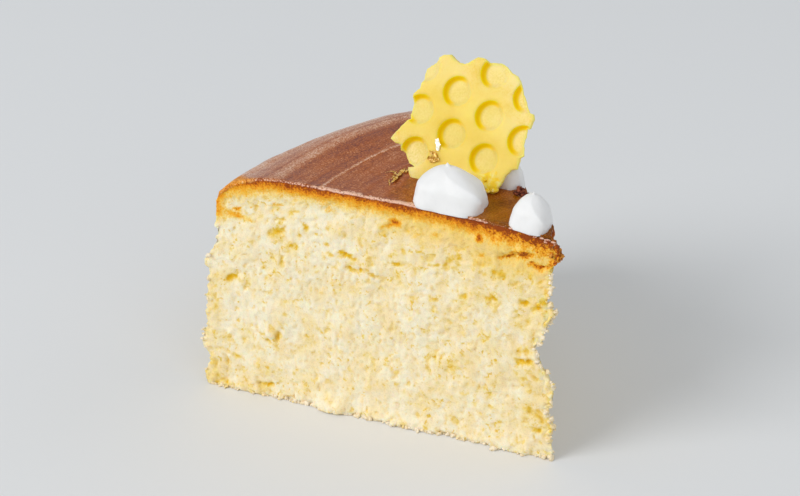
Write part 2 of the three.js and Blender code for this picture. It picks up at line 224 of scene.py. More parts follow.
def addPiece(name, points, faces, material, slot, node=None, values=None, sharp=None):
    # values: what the material reads from the mesh's points; sharp: edges over this angle stay crisp
    points = np.clip(np.asarray(points, float), roomLow, roomHigh)
    mesh = bpy.data.meshes.new(name)
    mesh.from_pydata((points * mm).tolist(), [], [list(map(int, face)) for face in faces])
    mesh.validate()
    for key, field in (values or {}).items():
        kept = mesh.attributes.new(key, "FLOAT", "POINT")
        kept.data.foreach_set("value", np.asarray(field, np.float32))
    mesh.materials.append(material)
    mesh.shade_smooth()
    if sharp:
        mesh.set_sharp_from_angle(angle=math.radians(sharp))
    piece = bpy.data.objects.new(name, mesh)
    scene.collection.objects.link(piece)
    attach(piece, "root")
    if node:
        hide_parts(node)
    print(f"{name}: {len(mesh.polygons)} faces")


def gridFaces(ids, flip=False):
    # quads over a grid of point numbers
    a, b, c, d = ids[:-1, :-1], ids[1:, :-1], ids[1:, 1:], ids[:-1, 1:]
    quads = np.stack([a, b, c, d], -1).reshape(-1, 4)
    return quads[:, ::-1] if flip else quads


def border(ids):
    # the point numbers around a grid, in order
    return np.concatenate([ids[:-1, 0], ids[-1, :-1], ids[::-1, -1][:-1], ids[0, ::-1][:-1]])


def strip(lower, upper):
    # quads between two closed rings of point numbers
    return np.stack([lower, np.roll(lower, -1), np.roll(upper, -1), upper], 1)


def pointNormals(points, quads):
    a, b, c, d = (points[quads[:, column]] for column in range(4))
    face = np.cross(c - a, d - b)
    normal = np.zeros_like(points)
    for column in range(4):
        np.add.at(normal, quads[:, column], face)
    return normal / (np.linalg.norm(normal, axis=1, keepdims=True) + 1e-12)


wedge = {
    "radius": 100,
    "slices": 7,
    "height": 64.05,           # top of the sponge, under the glaze
    "rimWidth": 19.4,
    "rimDrop": 10.6,
    "rimBreak": 0.72,
    "rimSway": 0.65,
    "rimSettle": 0.32,         # how much lower it lies away from the two cuts
    "wallLean": 0.055,
    "waist": (32, 50, 2.7),    # from this height to this one the side steps in
    "tipSink": 2.9,
    "tipSinkReach": 16,
    "tipFarBite": (3.6, 17),   # how much deeper the torn tip runs on the far cut, and the most it does
    # outline of the torn tip and of the near corner: height, then distance from the cake's axis
    "tipLine": [
        (0, 0.9), (2.4, 0.3), (6, 1.2), (9.7, 0.2), (13.8, 2.4), (16.5, 0.9), (21, 1.0), (25, 2.6),
        (27, 5.2), (29, 5.5), (31, 6.2), (34, 4.2), (38.8, 2.7), (41.6, 0.9), (43.5, 1.8), (45, 3.5),
        (48, 2.0), (52, 2.5), (54.5, 1.9), (57, 0.5), (59, 0.3), (61, 1.4), (64, 1.6)],
    "cornerLine": [
        (0, 98.9), (3.1, 99.7), (8.5, 98.2), (13, 99.8), (18, 98.5), (24, 98.7), (30, 98.2),
        (32.8, 97.2), (37.4, 97.9), (40, 96.6), (42.5, 95.8), (45, 95.1), (49.6, 95.0), (53.8, 94.4)],
    "cornerReach": 5,
    "shoulder": (55.4, 2.4, 0.4),   # the rim swells a little where it turns down
    "farSag": (25, 8, 2.3),         # and the far edge sags behind the disc's foot
}
halfAngle = math.pi / wedge["slices"]
axisY = -wedge["radius"] / 2
rimFoot = wedge["height"] - wedge["rimDrop"]


def sideRadius(z):
    foot, head, depth = wedge["waist"]
    return wedge["radius"] - wedge["wallLean"] * z - depth * ease(foot, head, z)


rimRadius = float(sideRadius(rimFoot))
rimBreakRadius = rimRadius - wedge["rimWidth"] * (1 - wedge["rimBreak"])


def wallRadius(z, across):
    # from the axis to the baked side and the rim; across runs from -1 on the near cut to 1 on the far one
    risen = np.clip((z - rimFoot) / wedge["rimDrop"], 0, 1)
    over = np.maximum(rimBreakRadius, rimRadius - wedge["rimWidth"] * (1 - np.sqrt(1 - risen * risen)))
    at, reach, out = wedge["shoulder"]
    over = over + out * bell((z - at) / reach)
    plain = np.where(z <= rimFoot, sideRadius(z), over)
    height, radius = zip(*wedge["cornerLine"])
    shown = np.interp(z, height, radius) - sideRadius(z)
    near = bell((across + 1) * halfAngle * wedge["radius"] / wedge["cornerReach"])
    return plain + shown * near * (z <= rimFoot)


def topHeight(r, across):
    share = r / wedge["radius"]
    over = np.clip((r - rimRadius + wedge["rimWidth"]) / wedge["rimWidth"], 0, 1)
    rim = wedge["rimDrop"] * (1 - np.sqrt(1 - over * over))
    sway = wedge["rimSway"] * np.sin(1.25 * math.pi * (across + 1)) * ease(0.3, 0.9, share)
    amid = ease(-1, -0.75, across) * ease(0.5, 0.2, across)
    settled = wedge["rimSettle"] * ease(0.72, 0.86, share) * amid
    at, reach, drop = wedge["farSag"]
    sag = drop * ease(0.8, 1, across) * bell((r - at) / reach)
    tip = wedge["tipSink"] * np.exp(-r / wedge["tipSinkReach"])
    return wedge["height"] - rim - tip - sway - sag - settled


def tipRadius(across, z):
    height, radius = zip(*wedge["tipLine"])
    near = np.interp(z, height, radius) + 0.3
    times, most = wedge["tipFarBite"]
    deepest = np.max([np.interp(z + above, height, radius) for above in (0, 2, 4)], 0) + 0.3
    return mix(near, np.minimum(deepest * times, most), (across + 1) / 2)


view = {
    "lens": 97.92,
    "sensor": 36,
    "azimuth": -40.93,
    "elevation": 26.49,
    "distance": 525.8,
    "target": (-29.74, -24.22, 60.28),
}


def direction(azimuth, elevation):
    a, e = math.radians(azimuth), math.radians(elevation)
    return Vector((math.sin(a) * math.cos(e), -math.cos(a) * math.cos(e), math.sin(e)))


def addCamera():
    data = bpy.data.cameras.new("camera")
    data.lens, data.sensor_width = view["lens"], view["sensor"]
    data.clip_start, data.clip_end = 0.02, 50
    camera = bpy.data.objects.new("camera", data)
    back = direction(view["azimuth"], view["elevation"])
    camera.location = (Vector(view["target"]) + back * view["distance"]) * mm
    camera.rotation_euler = back.to_track_quat("Z", "Y").to_euler()
    scene.collection.objects.link(camera)
    scene.camera = camera


studio = {
    "floor": tint(230, 231, 231),
    "air": tint(226, 230, 235),
    "airStrength": 0.61,
    "reach": 4,                 # half the floor's side
    "aim": (0, 0, 0.04),        # the lights point here
    # azimuth, elevation, distance and size in metres, power in watts
    "lights": {
        "key": (-102, 36, 2.7, 1.6, 37.8),
        "front": (-25, 35, 2.2, 1.8, 6),
        "fill": (65, 32, 2.6, 2.0, 5),
    },
}


def addStudio():
    mesh = bpy.data.meshes.new("floor")
    reach = studio["reach"]
    corners = [(-reach, -reach, 0), (reach, -reach, 0), (reach, reach, 0), (-reach, reach, 0)]
    mesh.from_pydata(corners, [], [(0, 1, 2, 3)])
    paper = Finish("floor paper", {"Roughness": 0.85, "Specular IOR Level": 0.2})
    grain = paper.noise(900, 2)
    pale = studio["floor"]
    shade = paper.blend(grain, tuple(c * 0.985 for c in pale[:3]) + (1,), pale)
    mesh.materials.append(paper.wear(baseColor=shade))
    floor = bpy.data.objects.new("floor", mesh)
    scene.collection.objects.link(floor)

    scene.world = bpy.data.worlds.new("air")
    scene.world.use_nodes = True
    air = scene.world.node_tree.nodes["Background"]
    air.inputs["Color"].default_value = studio["air"]
    air.inputs["Strength"].default_value = studio["airStrength"]

    for name, (azimuth, elevation, distance, size, power) in studio["lights"].items():
        lamp = bpy.data.lights.new(name, "AREA")
        lamp.shape, lamp.size, lamp.energy = "DISK", size, power
        holder = bpy.data.objects.new(name, lamp)
        away = direction(azimuth, elevation)
        holder.location = Vector(studio["aim"]) + away * distance
        holder.rotation_euler = away.to_track_quat("Z", "Y").to_euler()
        scene.collection.objects.link(holder)


sponge = {
    "steps": (64, 200, 134),    # over the angle, from tip to side, and up
    "lumps": (9, 0.55),         # size and depth
    "crags": (4.0, 0.40),
    "fluff": (2.0, 0.15),
    "grain": (1.05, 0.18),
    "warp": (1.3, 0.26),        # sideways, which gives the crumb its overhangs
    "stretch": 1.5,             # crumb runs upwards, as the cake rose
    "pits": (0.95, 0.26),
    "holes": (2.6, 0.35),
    "edgeCrags": (2.4, 1.0),    # where two faces meet
    "edgeTeeth": (1.15, 0.75),
    "crustLip": 0.35,
    "brownTo": 52.4,            # the browned skin reaches down the side to here
    "skin": (5.5, 0.35),
}
# cracks of the near cut: a broken line by distance from the axis and height, then width, depth, and how
# yellow, a painted shade inside the crack
nearCracks = [
    ([(91.8, 33.3), (89.9, 34.3)], 0.8, 0.5, 1.7), ([(78.7, 49.0), (76.1, 50.1)], 1.1, 0.5, 0.95),
    ([(70.4, 54.1), (69.0, 52.1), (68.5, 50.6)], 0.45, 0.3, 0.8),
    ([(73.6, 55.7), (71.0, 56.6)], 0.45, 0.4, 0.9), ([(78.0, 53.2), (75.1, 53.6)], 0.4, 0.4, 0.8),
    ([(62.3, 46.3), (60.7, 46.4)], 0.55, 0.3, 1.1), ([(59.4, 47.1), (56.7, 47.0)], 0.65, 0.5, 1.4),
    ([(55.5, 45.8), (54.1, 44.8)], 0.55, 0.4, 1.2),
    ([(57.7, 43.3), (54.5, 42.8), (52.0, 44.1)], 0.6, 0.5, 1.3),
    ([(51.6, 45.4), (50.5, 45.8)], 0.5, 0.3, 0.9), ([(50.7, 42.7), (48.1, 42.3)], 0.5, 0.4, 1.0),
    ([(44.5, 47.1), (43.0, 47.3)], 0.5, 0.3, 1.0),
    ([(79.5, 21.4), (77.6, 20.2), (78.1, 18.4)], 0.6, 0.5, 1.0),
    ([(81.9, 19.1), (81.9, 17.6), (80.2, 17.2)], 0.6, 0.5, 0.9),
    ([(78.8, 16.2), (76.6, 14.4)], 0.6, 0.4, 0.8), ([(92.5, 16.0), (91.6, 14.9)], 0.6, 0.3, 0.7),
    ([(94.5, 11.8), (91.4, 10.9), (88.1, 10.0)], 0.6, 0.3, 0.6),
    ([(96.2, 2.8), (93.9, 1.8)], 0.8, 0.4, 0.7), ([(83.3, 3.3), (80.1, 3.8)], 0.9, 1.0, 0.9),
    ([(19.5, 42.4), (17.9, 42.9)], 0.9, 0.5, 1.3), ([(10.3, 43.2), (8.6, 43.1)], 0.65, 0.5, 1.1),
    ([(7.5, 41.6), (6.1, 42.8), (4.2, 44.4)], 0.55, 0.9, 1.1),
    ([(15.9, 54.6), (13.5, 55.3), (11.5, 56.5), (8.6, 56.7)], 0.7, 0.9, 0.4),
    ([(8.0, 54.5), (5.7, 53.8), (3.6, 54.1)], 0.5, 1.0, 0.4),
    ([(17.5, 50.3), (15.1, 49.9)], 0.9, 0.3, 0.9), ([(21.7, 51.6), (19.3, 53.2)], 0.8, 0.2, 0.7),
    ([(26.3, 41.6), (24.9, 41.8)], 0.55, 0.3, 0.9), ([(34.4, 39.2), (32.7, 39.4)], 0.5, 0.3, 0.8),
    ([(39.8, 38.6), (38.5, 38.9)], 0.45, 0.3, 0.8), ([(44.1, 46.9), (39.8, 47.7)], 0.35, 0.3, 0.6),
    ([(35.3, 48.7), (30.7, 49.6)], 0.35, 0.3, 0.7),
    ([(11.0, 26.6), (9.1, 26.5), (7.3, 27.1)], 0.6, 0.9, 1.4),
    ([(10.5, 28.8), (8.1, 29.9)], 0.6, 0.6, 0.7), ([(7.2, 23.6), (5.5, 22.3)], 0.6, 0.6, 0.6),
    ([(19.0, 13.5), (17.9, 15.2)], 0.55, 0.4, 0.8), ([(28.3, 5.8), (27.2, 4.6)], 0.6, 0.4, 0.8),
    ([(5.8, 8.2), (4.5, 7.8)], 0.65, 0.4, 1.3),
]
# its small holes: distance from the axis, height, how long, width, depth, and how yellow, a painted shade
# inside the hole
nearHoles = [
    (86.1, 33.5, 0.4, 0.6, 0.2, 0.6), (71.4, 49.9, 0.4, 0.5, 0.3, 1.0),
    (63.6, 48.9, 0.6, 0.6, 0.3, 0.9), (51.5, 40.8, 0.4, 0.5, 0.3, 0.8),
    (61.3, 42.5, 0.8, 0.9, 0.2, 0.6), (72.8, 46.4, 0.6, 0.8, 0.2, 0.7),
    (80.1, 58.9, 0.3, 0.45, 0.2, 0.7), (72.1, 59.5, 0.3, 0.45, 0.2, 0.7),
    (75.5, 12.8, 0.5, 0.5, 0.3, 0.6), (75.9, 26.1, 0.4, 0.5, 0.3, 0.6), (5.4, 48.3, 0.3, 0.5, 0.3, 0.8),
    (5.5, 49.8, 0.3, 0.45, 0.3, 0.7), (27.6, 52.2, 0.5, 0.5, 0.2, 0.8),
    (12.4, 47.8, 0.6, 0.9, 0.2, 0.7), (20.6, 30.2, 0.4, 0.5, 0.3, 0.8), (15.5, 7.6, 0.4, 0.5, 0.3, 0.8),
]
nearCracks += [([(s, z), (s - long, z)], *rest) for s, z, long, *rest in nearHoles]
# bulges of the near cut, mostly along its foot: line, width, how far they stand out
nearBulges = [
    ([(64.5, 1), (60, 1.8)], 2.4, 2.2), ([(52, 0.5), (34, 1)], 2.6, 1.0), ([(20, 1), (8, 2)], 2.6, 1.1),
    ([(89, 0.5), (86, 1)], 2.4, 1.2), ([(22, 58.2), (12, 57.8)], 2.0, 0.7),
    ([(11.4, 57.5), (9.4, 57.8)], 0.9, 0.8), ([(81.2, 19.6), (79.6, 19.0)], 1.0, 0.7),
]
# browned streaks on the near cut: line, how deep under the crust their colour reads, how fast they fade
nearBrown = [
    ([(15.8, 54.6), (13.5, 55.3), (11.5, 56.3)], 1.1, 3.0), ([(11.5, 56.4), (8.6, 56.7)], 0.7, 1.8),
    ([(8.0, 54.5), (5.7, 53.8), (3.6, 54.1)], 0.9, 2.8),
    ([(2.3, 59.6), (0.4, 57.8), (0.8, 56.4)], 0.3, 1.2), ([(89.7, 53.7), (87.8, 54.3)], 1.6, 7.0),
    ([(94.3, 54.6), (93.4, 53.3), (90.9, 52.3), (88.3, 52.1)], 1.9, 2.2),
    ([(88.3, 52.1), (84.6, 51.3)], 2.6, 2.8), ([(84.9, 55.1), (82.6, 55.8)], 3.0, 6.0),
    ([(79.3, 56.9), (75.7, 57.4)], 3.0, 6.0), ([(44.8, 59.0), (43.7, 58.7)], 0.0, 3.0),
    ([(48.0, 56.8), (45.2, 57.8)], 1.8, 3.0), ([(63.2, 58.4), (61.5, 58.5)], 2.0, 3.0),
    ([(33.4, 57.2), (32.9, 57.2)], 2.0, 2.4), ([(21.5, 59.2), (21.5, 58.6)], 0.3, 2.8),
    ([(21.1, 54.1), (20.7, 54.1)], 2.0, 2.4),
]
# hollows of the far cut behind the torn tip
farHollows = [([(14, 31), (26, 30.5)], 4.0, -2.2)]


def farMarks(count, seed):
    # the cut on the other side gets its own cracks, by a seeded rule
    rng = np.random.default_rng(seed)
    spans = (0.5, 1.2), (0.6, 1.4), (0.5, 1.0)       # of width, depth and how yellow
    marks = []
    for i in range(count):
        s = mix(14, 92, (i + rng.random()) / count)
        z = mix(6, 56, rng.random())
        run = mix(1, 7, rng.random() ** 2)
        rise = mix(-0.35, 0.35, rng.random()) * run
        line = [(s, z), (s - run, z + rise)]
        marks.append((line, *(mix(low, high, rng.random()) for low, high in spans)))
    return marks


def browned(r, z):
    # distance to the browned skin: the top, the rim and the head of the side
    line = [(a, float(topHeight(a, -1))) for a in np.linspace(0, rimBreakRadius, 40)]
    heights = np.linspace(float(topHeight(rimBreakRadius, -1)), sponge["brownTo"], 14)
    line += [(float(wallRadius(h, 0.0)), h) for h in heights]
    return toLine(r, z, line)


def crumbRelief(points, s, z, marks, bulges, seed):
    # outward relief of torn crumb, and how deep a point lies in its pits and cracks, which the material
    # paints as shade
    stretched = points / np.array([1, 1, sponge["stretch"]])
    swirl = np.stack([lump(stretched, 3.2, seed + k) for k in (1, 2, 3)], 1)
    bent = stretched + 0.5 * swirl
    size, out = sponge["lumps"]
    relief = out * lump(points, size, seed + 4)
    for k, key in enumerate(("crags", "fluff", "grain"), 5):
        size, out = sponge[key]
        relief += out * lump(bent, size, seed + k)
    pits = ease(0.20, 0.55, lump(bent, sponge["pits"][0], seed + 8))
    holes = ease(0.42, 0.72, lump(bent, sponge["holes"][0], seed + 9))
    relief -= sponge["pits"][1] * pits + sponge["holes"][1] * holes
    depth = 0.22 * pits + 0.4 * holes
    wobble = 0.5 * lump(points, 1.7, seed + 10) + 0.4 * lump(points, 0.8, seed + 11)
    broken = np.clip(0.72 + 0.8 * lump(points, 1.25, seed + 12), 0.15, 1.1)
    for line, width, deep, yellow in marks:
        mark = broken * bell(np.maximum(0, toLine(s, z, line) + wobble) / width)
        relief -= deep * mark
        depth += yellow * mark
    for line, width, out in bulges:
        relief += out * bell(toLine(s, z, line) / width)
    return relief, depth


def buildSponge():
    arcs, spans, rises = sponge["steps"]
    share = np.linspace(0, 1, spans + 1)
    outs = share + 0.02 * np.sin(2 * math.pi * share)
    ups = np.linspace(0, 1, rises + 1)
    across = np.linspace(-1, 1, arcs + 1)

    # six sheets around the wedge; a point on an edge has the same number in both of its sheets
    def number(arc, span, rise):
        return (arc * (spans + 1) + span) * (rises + 1) + rise
    arc, span, rise = np.arange(arcs + 1)[:, None], np.arange(spans + 1), np.arange(rises + 1)
    sheets = {
        "near": (number(0, span[:, None], rise), True),
        "far": (number(arcs, span[:, None], rise), False),
        "tip": (number(arc, 0, rise), False),
        "side": (number(arc, spans, rise), True),
        "top": (number(arc, span, rises), False),
        "foot": (number(arc, span, 0), True),
    }
    every = np.concatenate([ids.ravel() for ids, _ in sheets.values()])
    used, numbers = np.unique(every, return_inverse=True)
    grids, start = {}, 0
    for name, (ids, _) in sheets.items():
        grids[name] = numbers[start:start + ids.size].reshape(ids.shape)
        start += ids.size
    quads = np.concatenate([gridFaces(grids[name], flip) for name, (_, flip) in sheets.items()])

    a = across[used // ((spans + 1) * (rises + 1))]
    out = outs[(used // (rises + 1)) % (spans + 1)]
    topRadius = mix(tipRadius(a, wedge["height"]), rimBreakRadius, out)
    z = ups[used % (rises + 1)] * topHeight(topRadius, a)
    r = mix(tipRadius(a, z), wallRadius(z, a), out)
    angle = a * halfAngle
    points = np.stack([r * np.sin(angle), r * np.cos(angle) + axisY, z], 1)
    normals = pointNormals(points, quads)

    everyPoint = np.arange(len(points))
    on = {name: np.isin(everyPoint, grid) for name, grid in grids.items()}
    torn = on["near"] | on["far"] | on["tip"]
    toCut = r * np.sin(np.minimum(1 + a, 1 - a) * halfAngle)
    cutness = np.where(torn, 1.0, bell(toCut / 1.3))

    relief, depth = np.zeros(len(points)), np.zeros(len(points))
    for half, seed, marks, bulges in ((a < 0, 10, nearCracks, nearBulges),
                                      (a >= 0, 60, farMarks(count=26, seed=5), farHollows)):
        relief[half], depth[half] = crumbRelief(points[half], r[half], z[half], marks, bulges, seed)
    # both halves meet quietly in the middle of the torn tip
    relief *= np.where(on["tip"], ease(0.0, 0.25, np.abs(a)) * 0.6 + 0.4, 1)
    under = browned(r, z)
    relief *= mix(mix(0.35, 0.9, bell(r / 20)), 1, ease(0.6, 3.0, under))
    relief += sponge["crustLip"] * ease(3.2, 1.6, under) * ease(0, 0.8, under) * torn * ease(88, 78, r)
    toWall = np.where(on["near"] | on["far"] | on["side"], np.abs(r - wallRadius(z, a)), 99)
    toTip = np.where(torn, np.minimum(np.abs(r - tipRadius(a, z)), z), 99)
    atEdge = bell(np.minimum(toWall, toTip) / 1.6) * cutness
    loose = np.maximum(ease(1.5, 5, under), bell(r / 7) * (z < 61))
    for key, seed in (("edgeCrags", 31), ("edgeTeeth", 32)):
        size, reach = sponge[key]
        relief += atEdge * loose * reach * lump(points, size, seed)
    size, reach = sponge["skin"]
    skin = reach * lump(points / np.array([1, 1, 2.2]), size, 40) + 0.10 * lump(points, 1.3, 41)
    skin *= on["side"] & ~torn
    moved = points + normals * (cutness * relief + (1 - cutness) * skin * ease(64, 50, z))[:, None]
    size, reach = sponge["warp"]
    warp = np.stack([lump(points, size, 50 + k) for k in range(3)], 1) * reach
    moved += warp * (cutness * np.where(on["top"], 0.4, 1))[:, None]
    moved[on["foot"], 2] = 0
    moved[:, 2] = np.maximum(moved[:, 2], 0)

    # how far below the browned skin the colour reads
    brown = under - bell(r / 28) - 0.8 * bell(r / 12) + 1.7 * ease(84, 93, r) * torn
    stray = 0.45 * lump(points, 1.1, 33) + 0.4 * lump(points, 2.3, 34)
    for line, offset, fade in nearBrown:
        streak = offset + np.maximum(0, toLine(r, z, line) + stray) * fade
        brown = np.where((a < 0) & torn, np.minimum(brown, streak), brown)
    # pit: how deep a point lies in pits and cracks, which the material paints as a deeper yellow shade
    values = {"pit": np.clip(depth, 0, 1.4), "brown": brown, "cut": cutness, "radius": r}
    return moved, quads, values, grids, normals


def spongeFinish(name, scatter):
    finish = Finish(name, {
        "Subsurface Weight": scatter, "Subsurface Radius": (1.0, 0.82, 0.55),
        "Subsurface Scale": 0.9 * mm, "Specular IOR Level": 0.2,
    })
    fine = finish.noise(0.5, 3, 0.6)
    soft = finish.noise(2.2, 3, 0.5)
    broad = finish.noise(5, 2, 0.5)
    wide = finish.noise(15, 2)
    upright = finish.add("ShaderNodeMapping", None, {"Vector": finish.place(), "Scale": (1, 1, 0.35)})
    columns = finish.noise(4.5, 2, 0.5, upright)
    clusters = finish.step(finish.noise(4, 2, 0.5), 0.44, 0.62)
    pores = finish.step(finish.noise(1.2, 2, 0.55), 0.56, 0.70)
    wells = finish.step(soft, 0.52, 0.76)
    mottle = finish.noise(1.0, 2, 0.6)
    radius, brown = finish.value("radius"), finish.value("brown")
    height = finish.add("ShaderNodeSeparateXYZ", None, {"Vector": finish.place()}, 2)
    toTip = finish.step(radius, 52, 4)
    atTip = finish.step(radius, 28, 8)
    golden = finish.step(brown, 13, 4) * finish.step(radius, 62, 28)
    rich = finish.step(brown, 22, 9) * finish.step(radius, 58, 26)

    # painted shade: crumb is painted a deeper yellow the deeper it lies in a pit, crack or pore; noise and
    # broad gradients add tone on top
    flecks = pores * (clusters * 0.5 + 0.04) + wells * 0.34
    pit = (finish.value("pit") * (mottle * 1.6 + 0.02) + flecks * (toTip * 0.15 + rich * 0.35 + 0.9)
           + (broad - 0.5) * 0.7 + (wide - 0.5) * 0.4 + toTip * 0.14 + rich * 0.1
           + finish.step(height, 24 * mm, 4 * mm) * (0.04 - toTip * 0.12)
           + finish.step(radius, 91, 98) * 0.12 + 0.035)
    crumb = finish.ramp(pit, (0.0, 255, 239, 209), (0.14, 255, 232, 188), (0.35, 247, 220, 146),
                        (0.65, 237, 201, 86), (1.0, 233, 182, 24))
    # painted shade: soft beige upright streaks, the shade of the crumb's risen grain laid on as colour
    crumb = finish.blend(finish.step(columns, 0.52, 0.74) * 0.5, crumb, tint(243, 221, 170))
    crumb = finish.blend(golden * 0.8, crumb, tint(251, 211, 118))

    # and it browns towards the top
    under = (brown * 1.02 + (fine - 0.5) * 4.2 + (soft - 0.5) * (atTip * 3 + 2.6) - pores * 0.5
             + (mottle - 0.5) * atTip * 5)
    bake = finish.ramp(under * 0.125, (0.0, 152, 70, 12), (0.06, 188, 98, 10), (0.13, 220, 134, 16),
                       (0.22, 240, 163, 30), (0.34, 247, 190, 66), (0.5, 251, 213, 114),
                       (0.8, 252, 228, 164))
    band = finish.blend(finish.step(under, 2.6, 6.6), bake, crumb)
    skin = finish.ramp(under * 0.03 + (soft - 0.5) * 0.06, (0.0, 198, 114, 36), (0.05, 222, 148, 54),
                       (0.14, 236, 184, 100), (0.4, 241, 210, 146), (1.0, 245, 220, 164))
    colour = finish.blend(finish.step(finish.value("cut") + (fine - 0.5) * 0.5, 0.25, 0.6), skin, band)
    # painted shade: a fine grey speckle multiplied into the colour, as the crumb's tiny pores would shade it
    paintedGrainShade = {"stops": [(0.34, (0.82, 0.82, 0.81, 1)), (0.52, (1, 1, 1, 1))]}
    speckShadeAndBump = finish.add("ShaderNodeValToRGB", paintedGrainShade, {"Fac": finish.noise(0.42, 3, 0.7)})
    colour = finish.blend(0.65, colour, speckShadeAndBump, "MULTIPLY")
    grain = finish.bump(finish.noise(0.42, 3, 0.65), 0.12, 0.6)
    porous = finish.bump(1 - pores, 0.10, 0.6, grain)
    return finish.wear(baseColor=colour, roughness=0.8 + (fine - 0.5) * 0.2, normal=porous)


film = {
    "thick": 0.34,
    "sunk": 0.4,                # its underside lies this deep in the sponge
    "lowest": 55.6,             # it runs over the rim down to about here
    "ragged": 2.8,              # over this height its edge thins out
    "lip": 0.06,
    # rings that the spatula left: radius, width, lift, and how pale they are painted: above 0 a painted
    # highlight along the ridge, below 0 painted shade in the trough
    "rings": [
        (64.8, 0.42, 0.2, 2.2), (54.6, 0.6, 0.10, 0.45), (42.3, 0.5, 0.08, 0.4),
        (75.8, 0.9, -0.02, -0.2), (68.2, 0.9, -0.05, -0.5), (46.7, 1.2, -0.05, -0.4),
        (81.6, 0.5, 0.05, -0.35), (60.6, 1.4, 0.03, -0.25)],
}


def glazeTop(x, y):
    # height of the glaze over a point of the plan
    across = np.clip(np.arctan2(x, y - axisY) / halfAngle, -1, 1)
    return topHeight(np.hypot(x, y - axisY), across) + film["thick"]


def buildFilm(points, grids, normals):
    # rows of the sponge's own points, over its top and down the head of its side
    top, side, lowest = grids["top"], grids["side"], film["lowest"]
    shoulder = [side[:, i] for i in range(side.shape[1] - 2, 0, -1)]
    ids = np.stack([*top.T, *(row for row in shoulder if points[row, 2].mean() > lowest)], 1)
    base, normal = points[ids], normals[ids]
    r = np.hypot(base[..., 0], base[..., 1] - axisY)
    angle = np.arctan2(base[..., 0], base[..., 1] - axisY)
    across = angle / halfAngle
    z = base[..., 2]

    thick = film["thick"] * (1 + 0.25 * lump(base, 6, 71))
    fade = ease(0, film["ragged"], z - lowest + 0.9 * lump(base, 5, 72))
    thick = np.where(r > rimBreakRadius - 3, thick * mix(-0.6, 1, fade), thick)
    # pale: painted highlight on the ring ridges, negative for painted shade in the troughs
    pale = np.zeros_like(r)
    wobble = 0.35 * lump(plan(angle * 40, r * 0.1), 9, 73)
    for radius, width, lift, paintedLight in film["rings"]:
        strength = 0.65 + 0.4 * lump(plan(angle * 30, np.full_like(r, radius)), 7, 74)
        line = bell((r - radius - wobble) / width) * strength
        thick += lift * line
        pale += paintedLight * line
    thick += 0.05 * lump(plan(r, angle * 12), 2.3, 75)
    toCut = r * np.sin(halfAngle - np.abs(angle))
    edge = bell(np.maximum(0, np.minimum(toCut, r - 2)) / 1.4)
    thick += edge * ease(84, 62, r) * (0.14 + 0.24 * lump(base, 1.1, 78))
    # it gathered along the far end of the rim, and a little at the near corner
    thick += 0.7 * ease(0.15, 0.7, across) * ease(62, 84, r) * ease(lowest, 60, z)
    thick += 0.4 * ease(-0.35, -0.9, across) * bell((r - 91) / 5) * ease(lowest, 58, z)
    lift = np.where((r > rimBreakRadius - 1)[..., None], normal, (0, 0, 1))
    upper = base + lift * thick[..., None]
    lower = base - lift * film["sunk"]

    # between the outer loops of both sheets a lip hangs over the cuts
    arcs, spans = ids.shape
    count = arcs * spans
    number = np.arange(count).reshape(arcs, spans)
    ring = border(number)
    arc, span = np.divmod(ring, spans)
    rim = base.reshape(-1, 3)[ring]
    c, s = math.cos(halfAngle), math.sin(halfAngle)
    outward = np.zeros_like(rim)
    for on, away in ((arc == 0, (-c, -s, 0)), (arc == arcs - 1, (c, -s, 0)), (span == 0, (0, -1, 0))):
        outward += on[:, None] * np.array(away)
    outward /= np.linalg.norm(outward, axis=1, keepdims=True) + 1e-9
    rough = lump(rim, 1.5, 76)
    out = np.hypot(rim[:, 0], rim[:, 1] - axisY)
    onCut = span < spans - 1
    hang = mix(0.62, 0.2, ease(62, 86, out)) + 0.7 * bell(out / 5)
    reach = (film["lip"] + 0.12 * rough + 0.5 * bell(out / 4)) * onCut
    lip = rim + outward * reach[:, None]
    lip[:, 2] -= np.clip(hang + 0.3 * lump(rim, 3.1, 77) + 0.25 * rough, 0.02, 1.5) * onCut
    lipIds = 2 * count + np.arange(len(ring))
    quads = [gridFaces(number), gridFaces(number + count, True)]
    quads += [strip(lipIds, ring), strip(ring + count, lipIds)]

    def spread(field, atLip):
        return np.concatenate([field.ravel(), field.ravel(), np.broadcast_to(atLip, len(ring))])
    values = {
        "pale": spread(pale, 0),
        "radius": spread(r, r.ravel()[ring]),
        "arc": spread(angle, angle.ravel()[ring]) * 60,
        "inside": spread(toCut, 0),
        "lip": spread(np.zeros_like(r), 1),
    }
    return np.concatenate([upper.reshape(-1, 3), lower.reshape(-1, 3), lip]), np.concatenate(quads), values


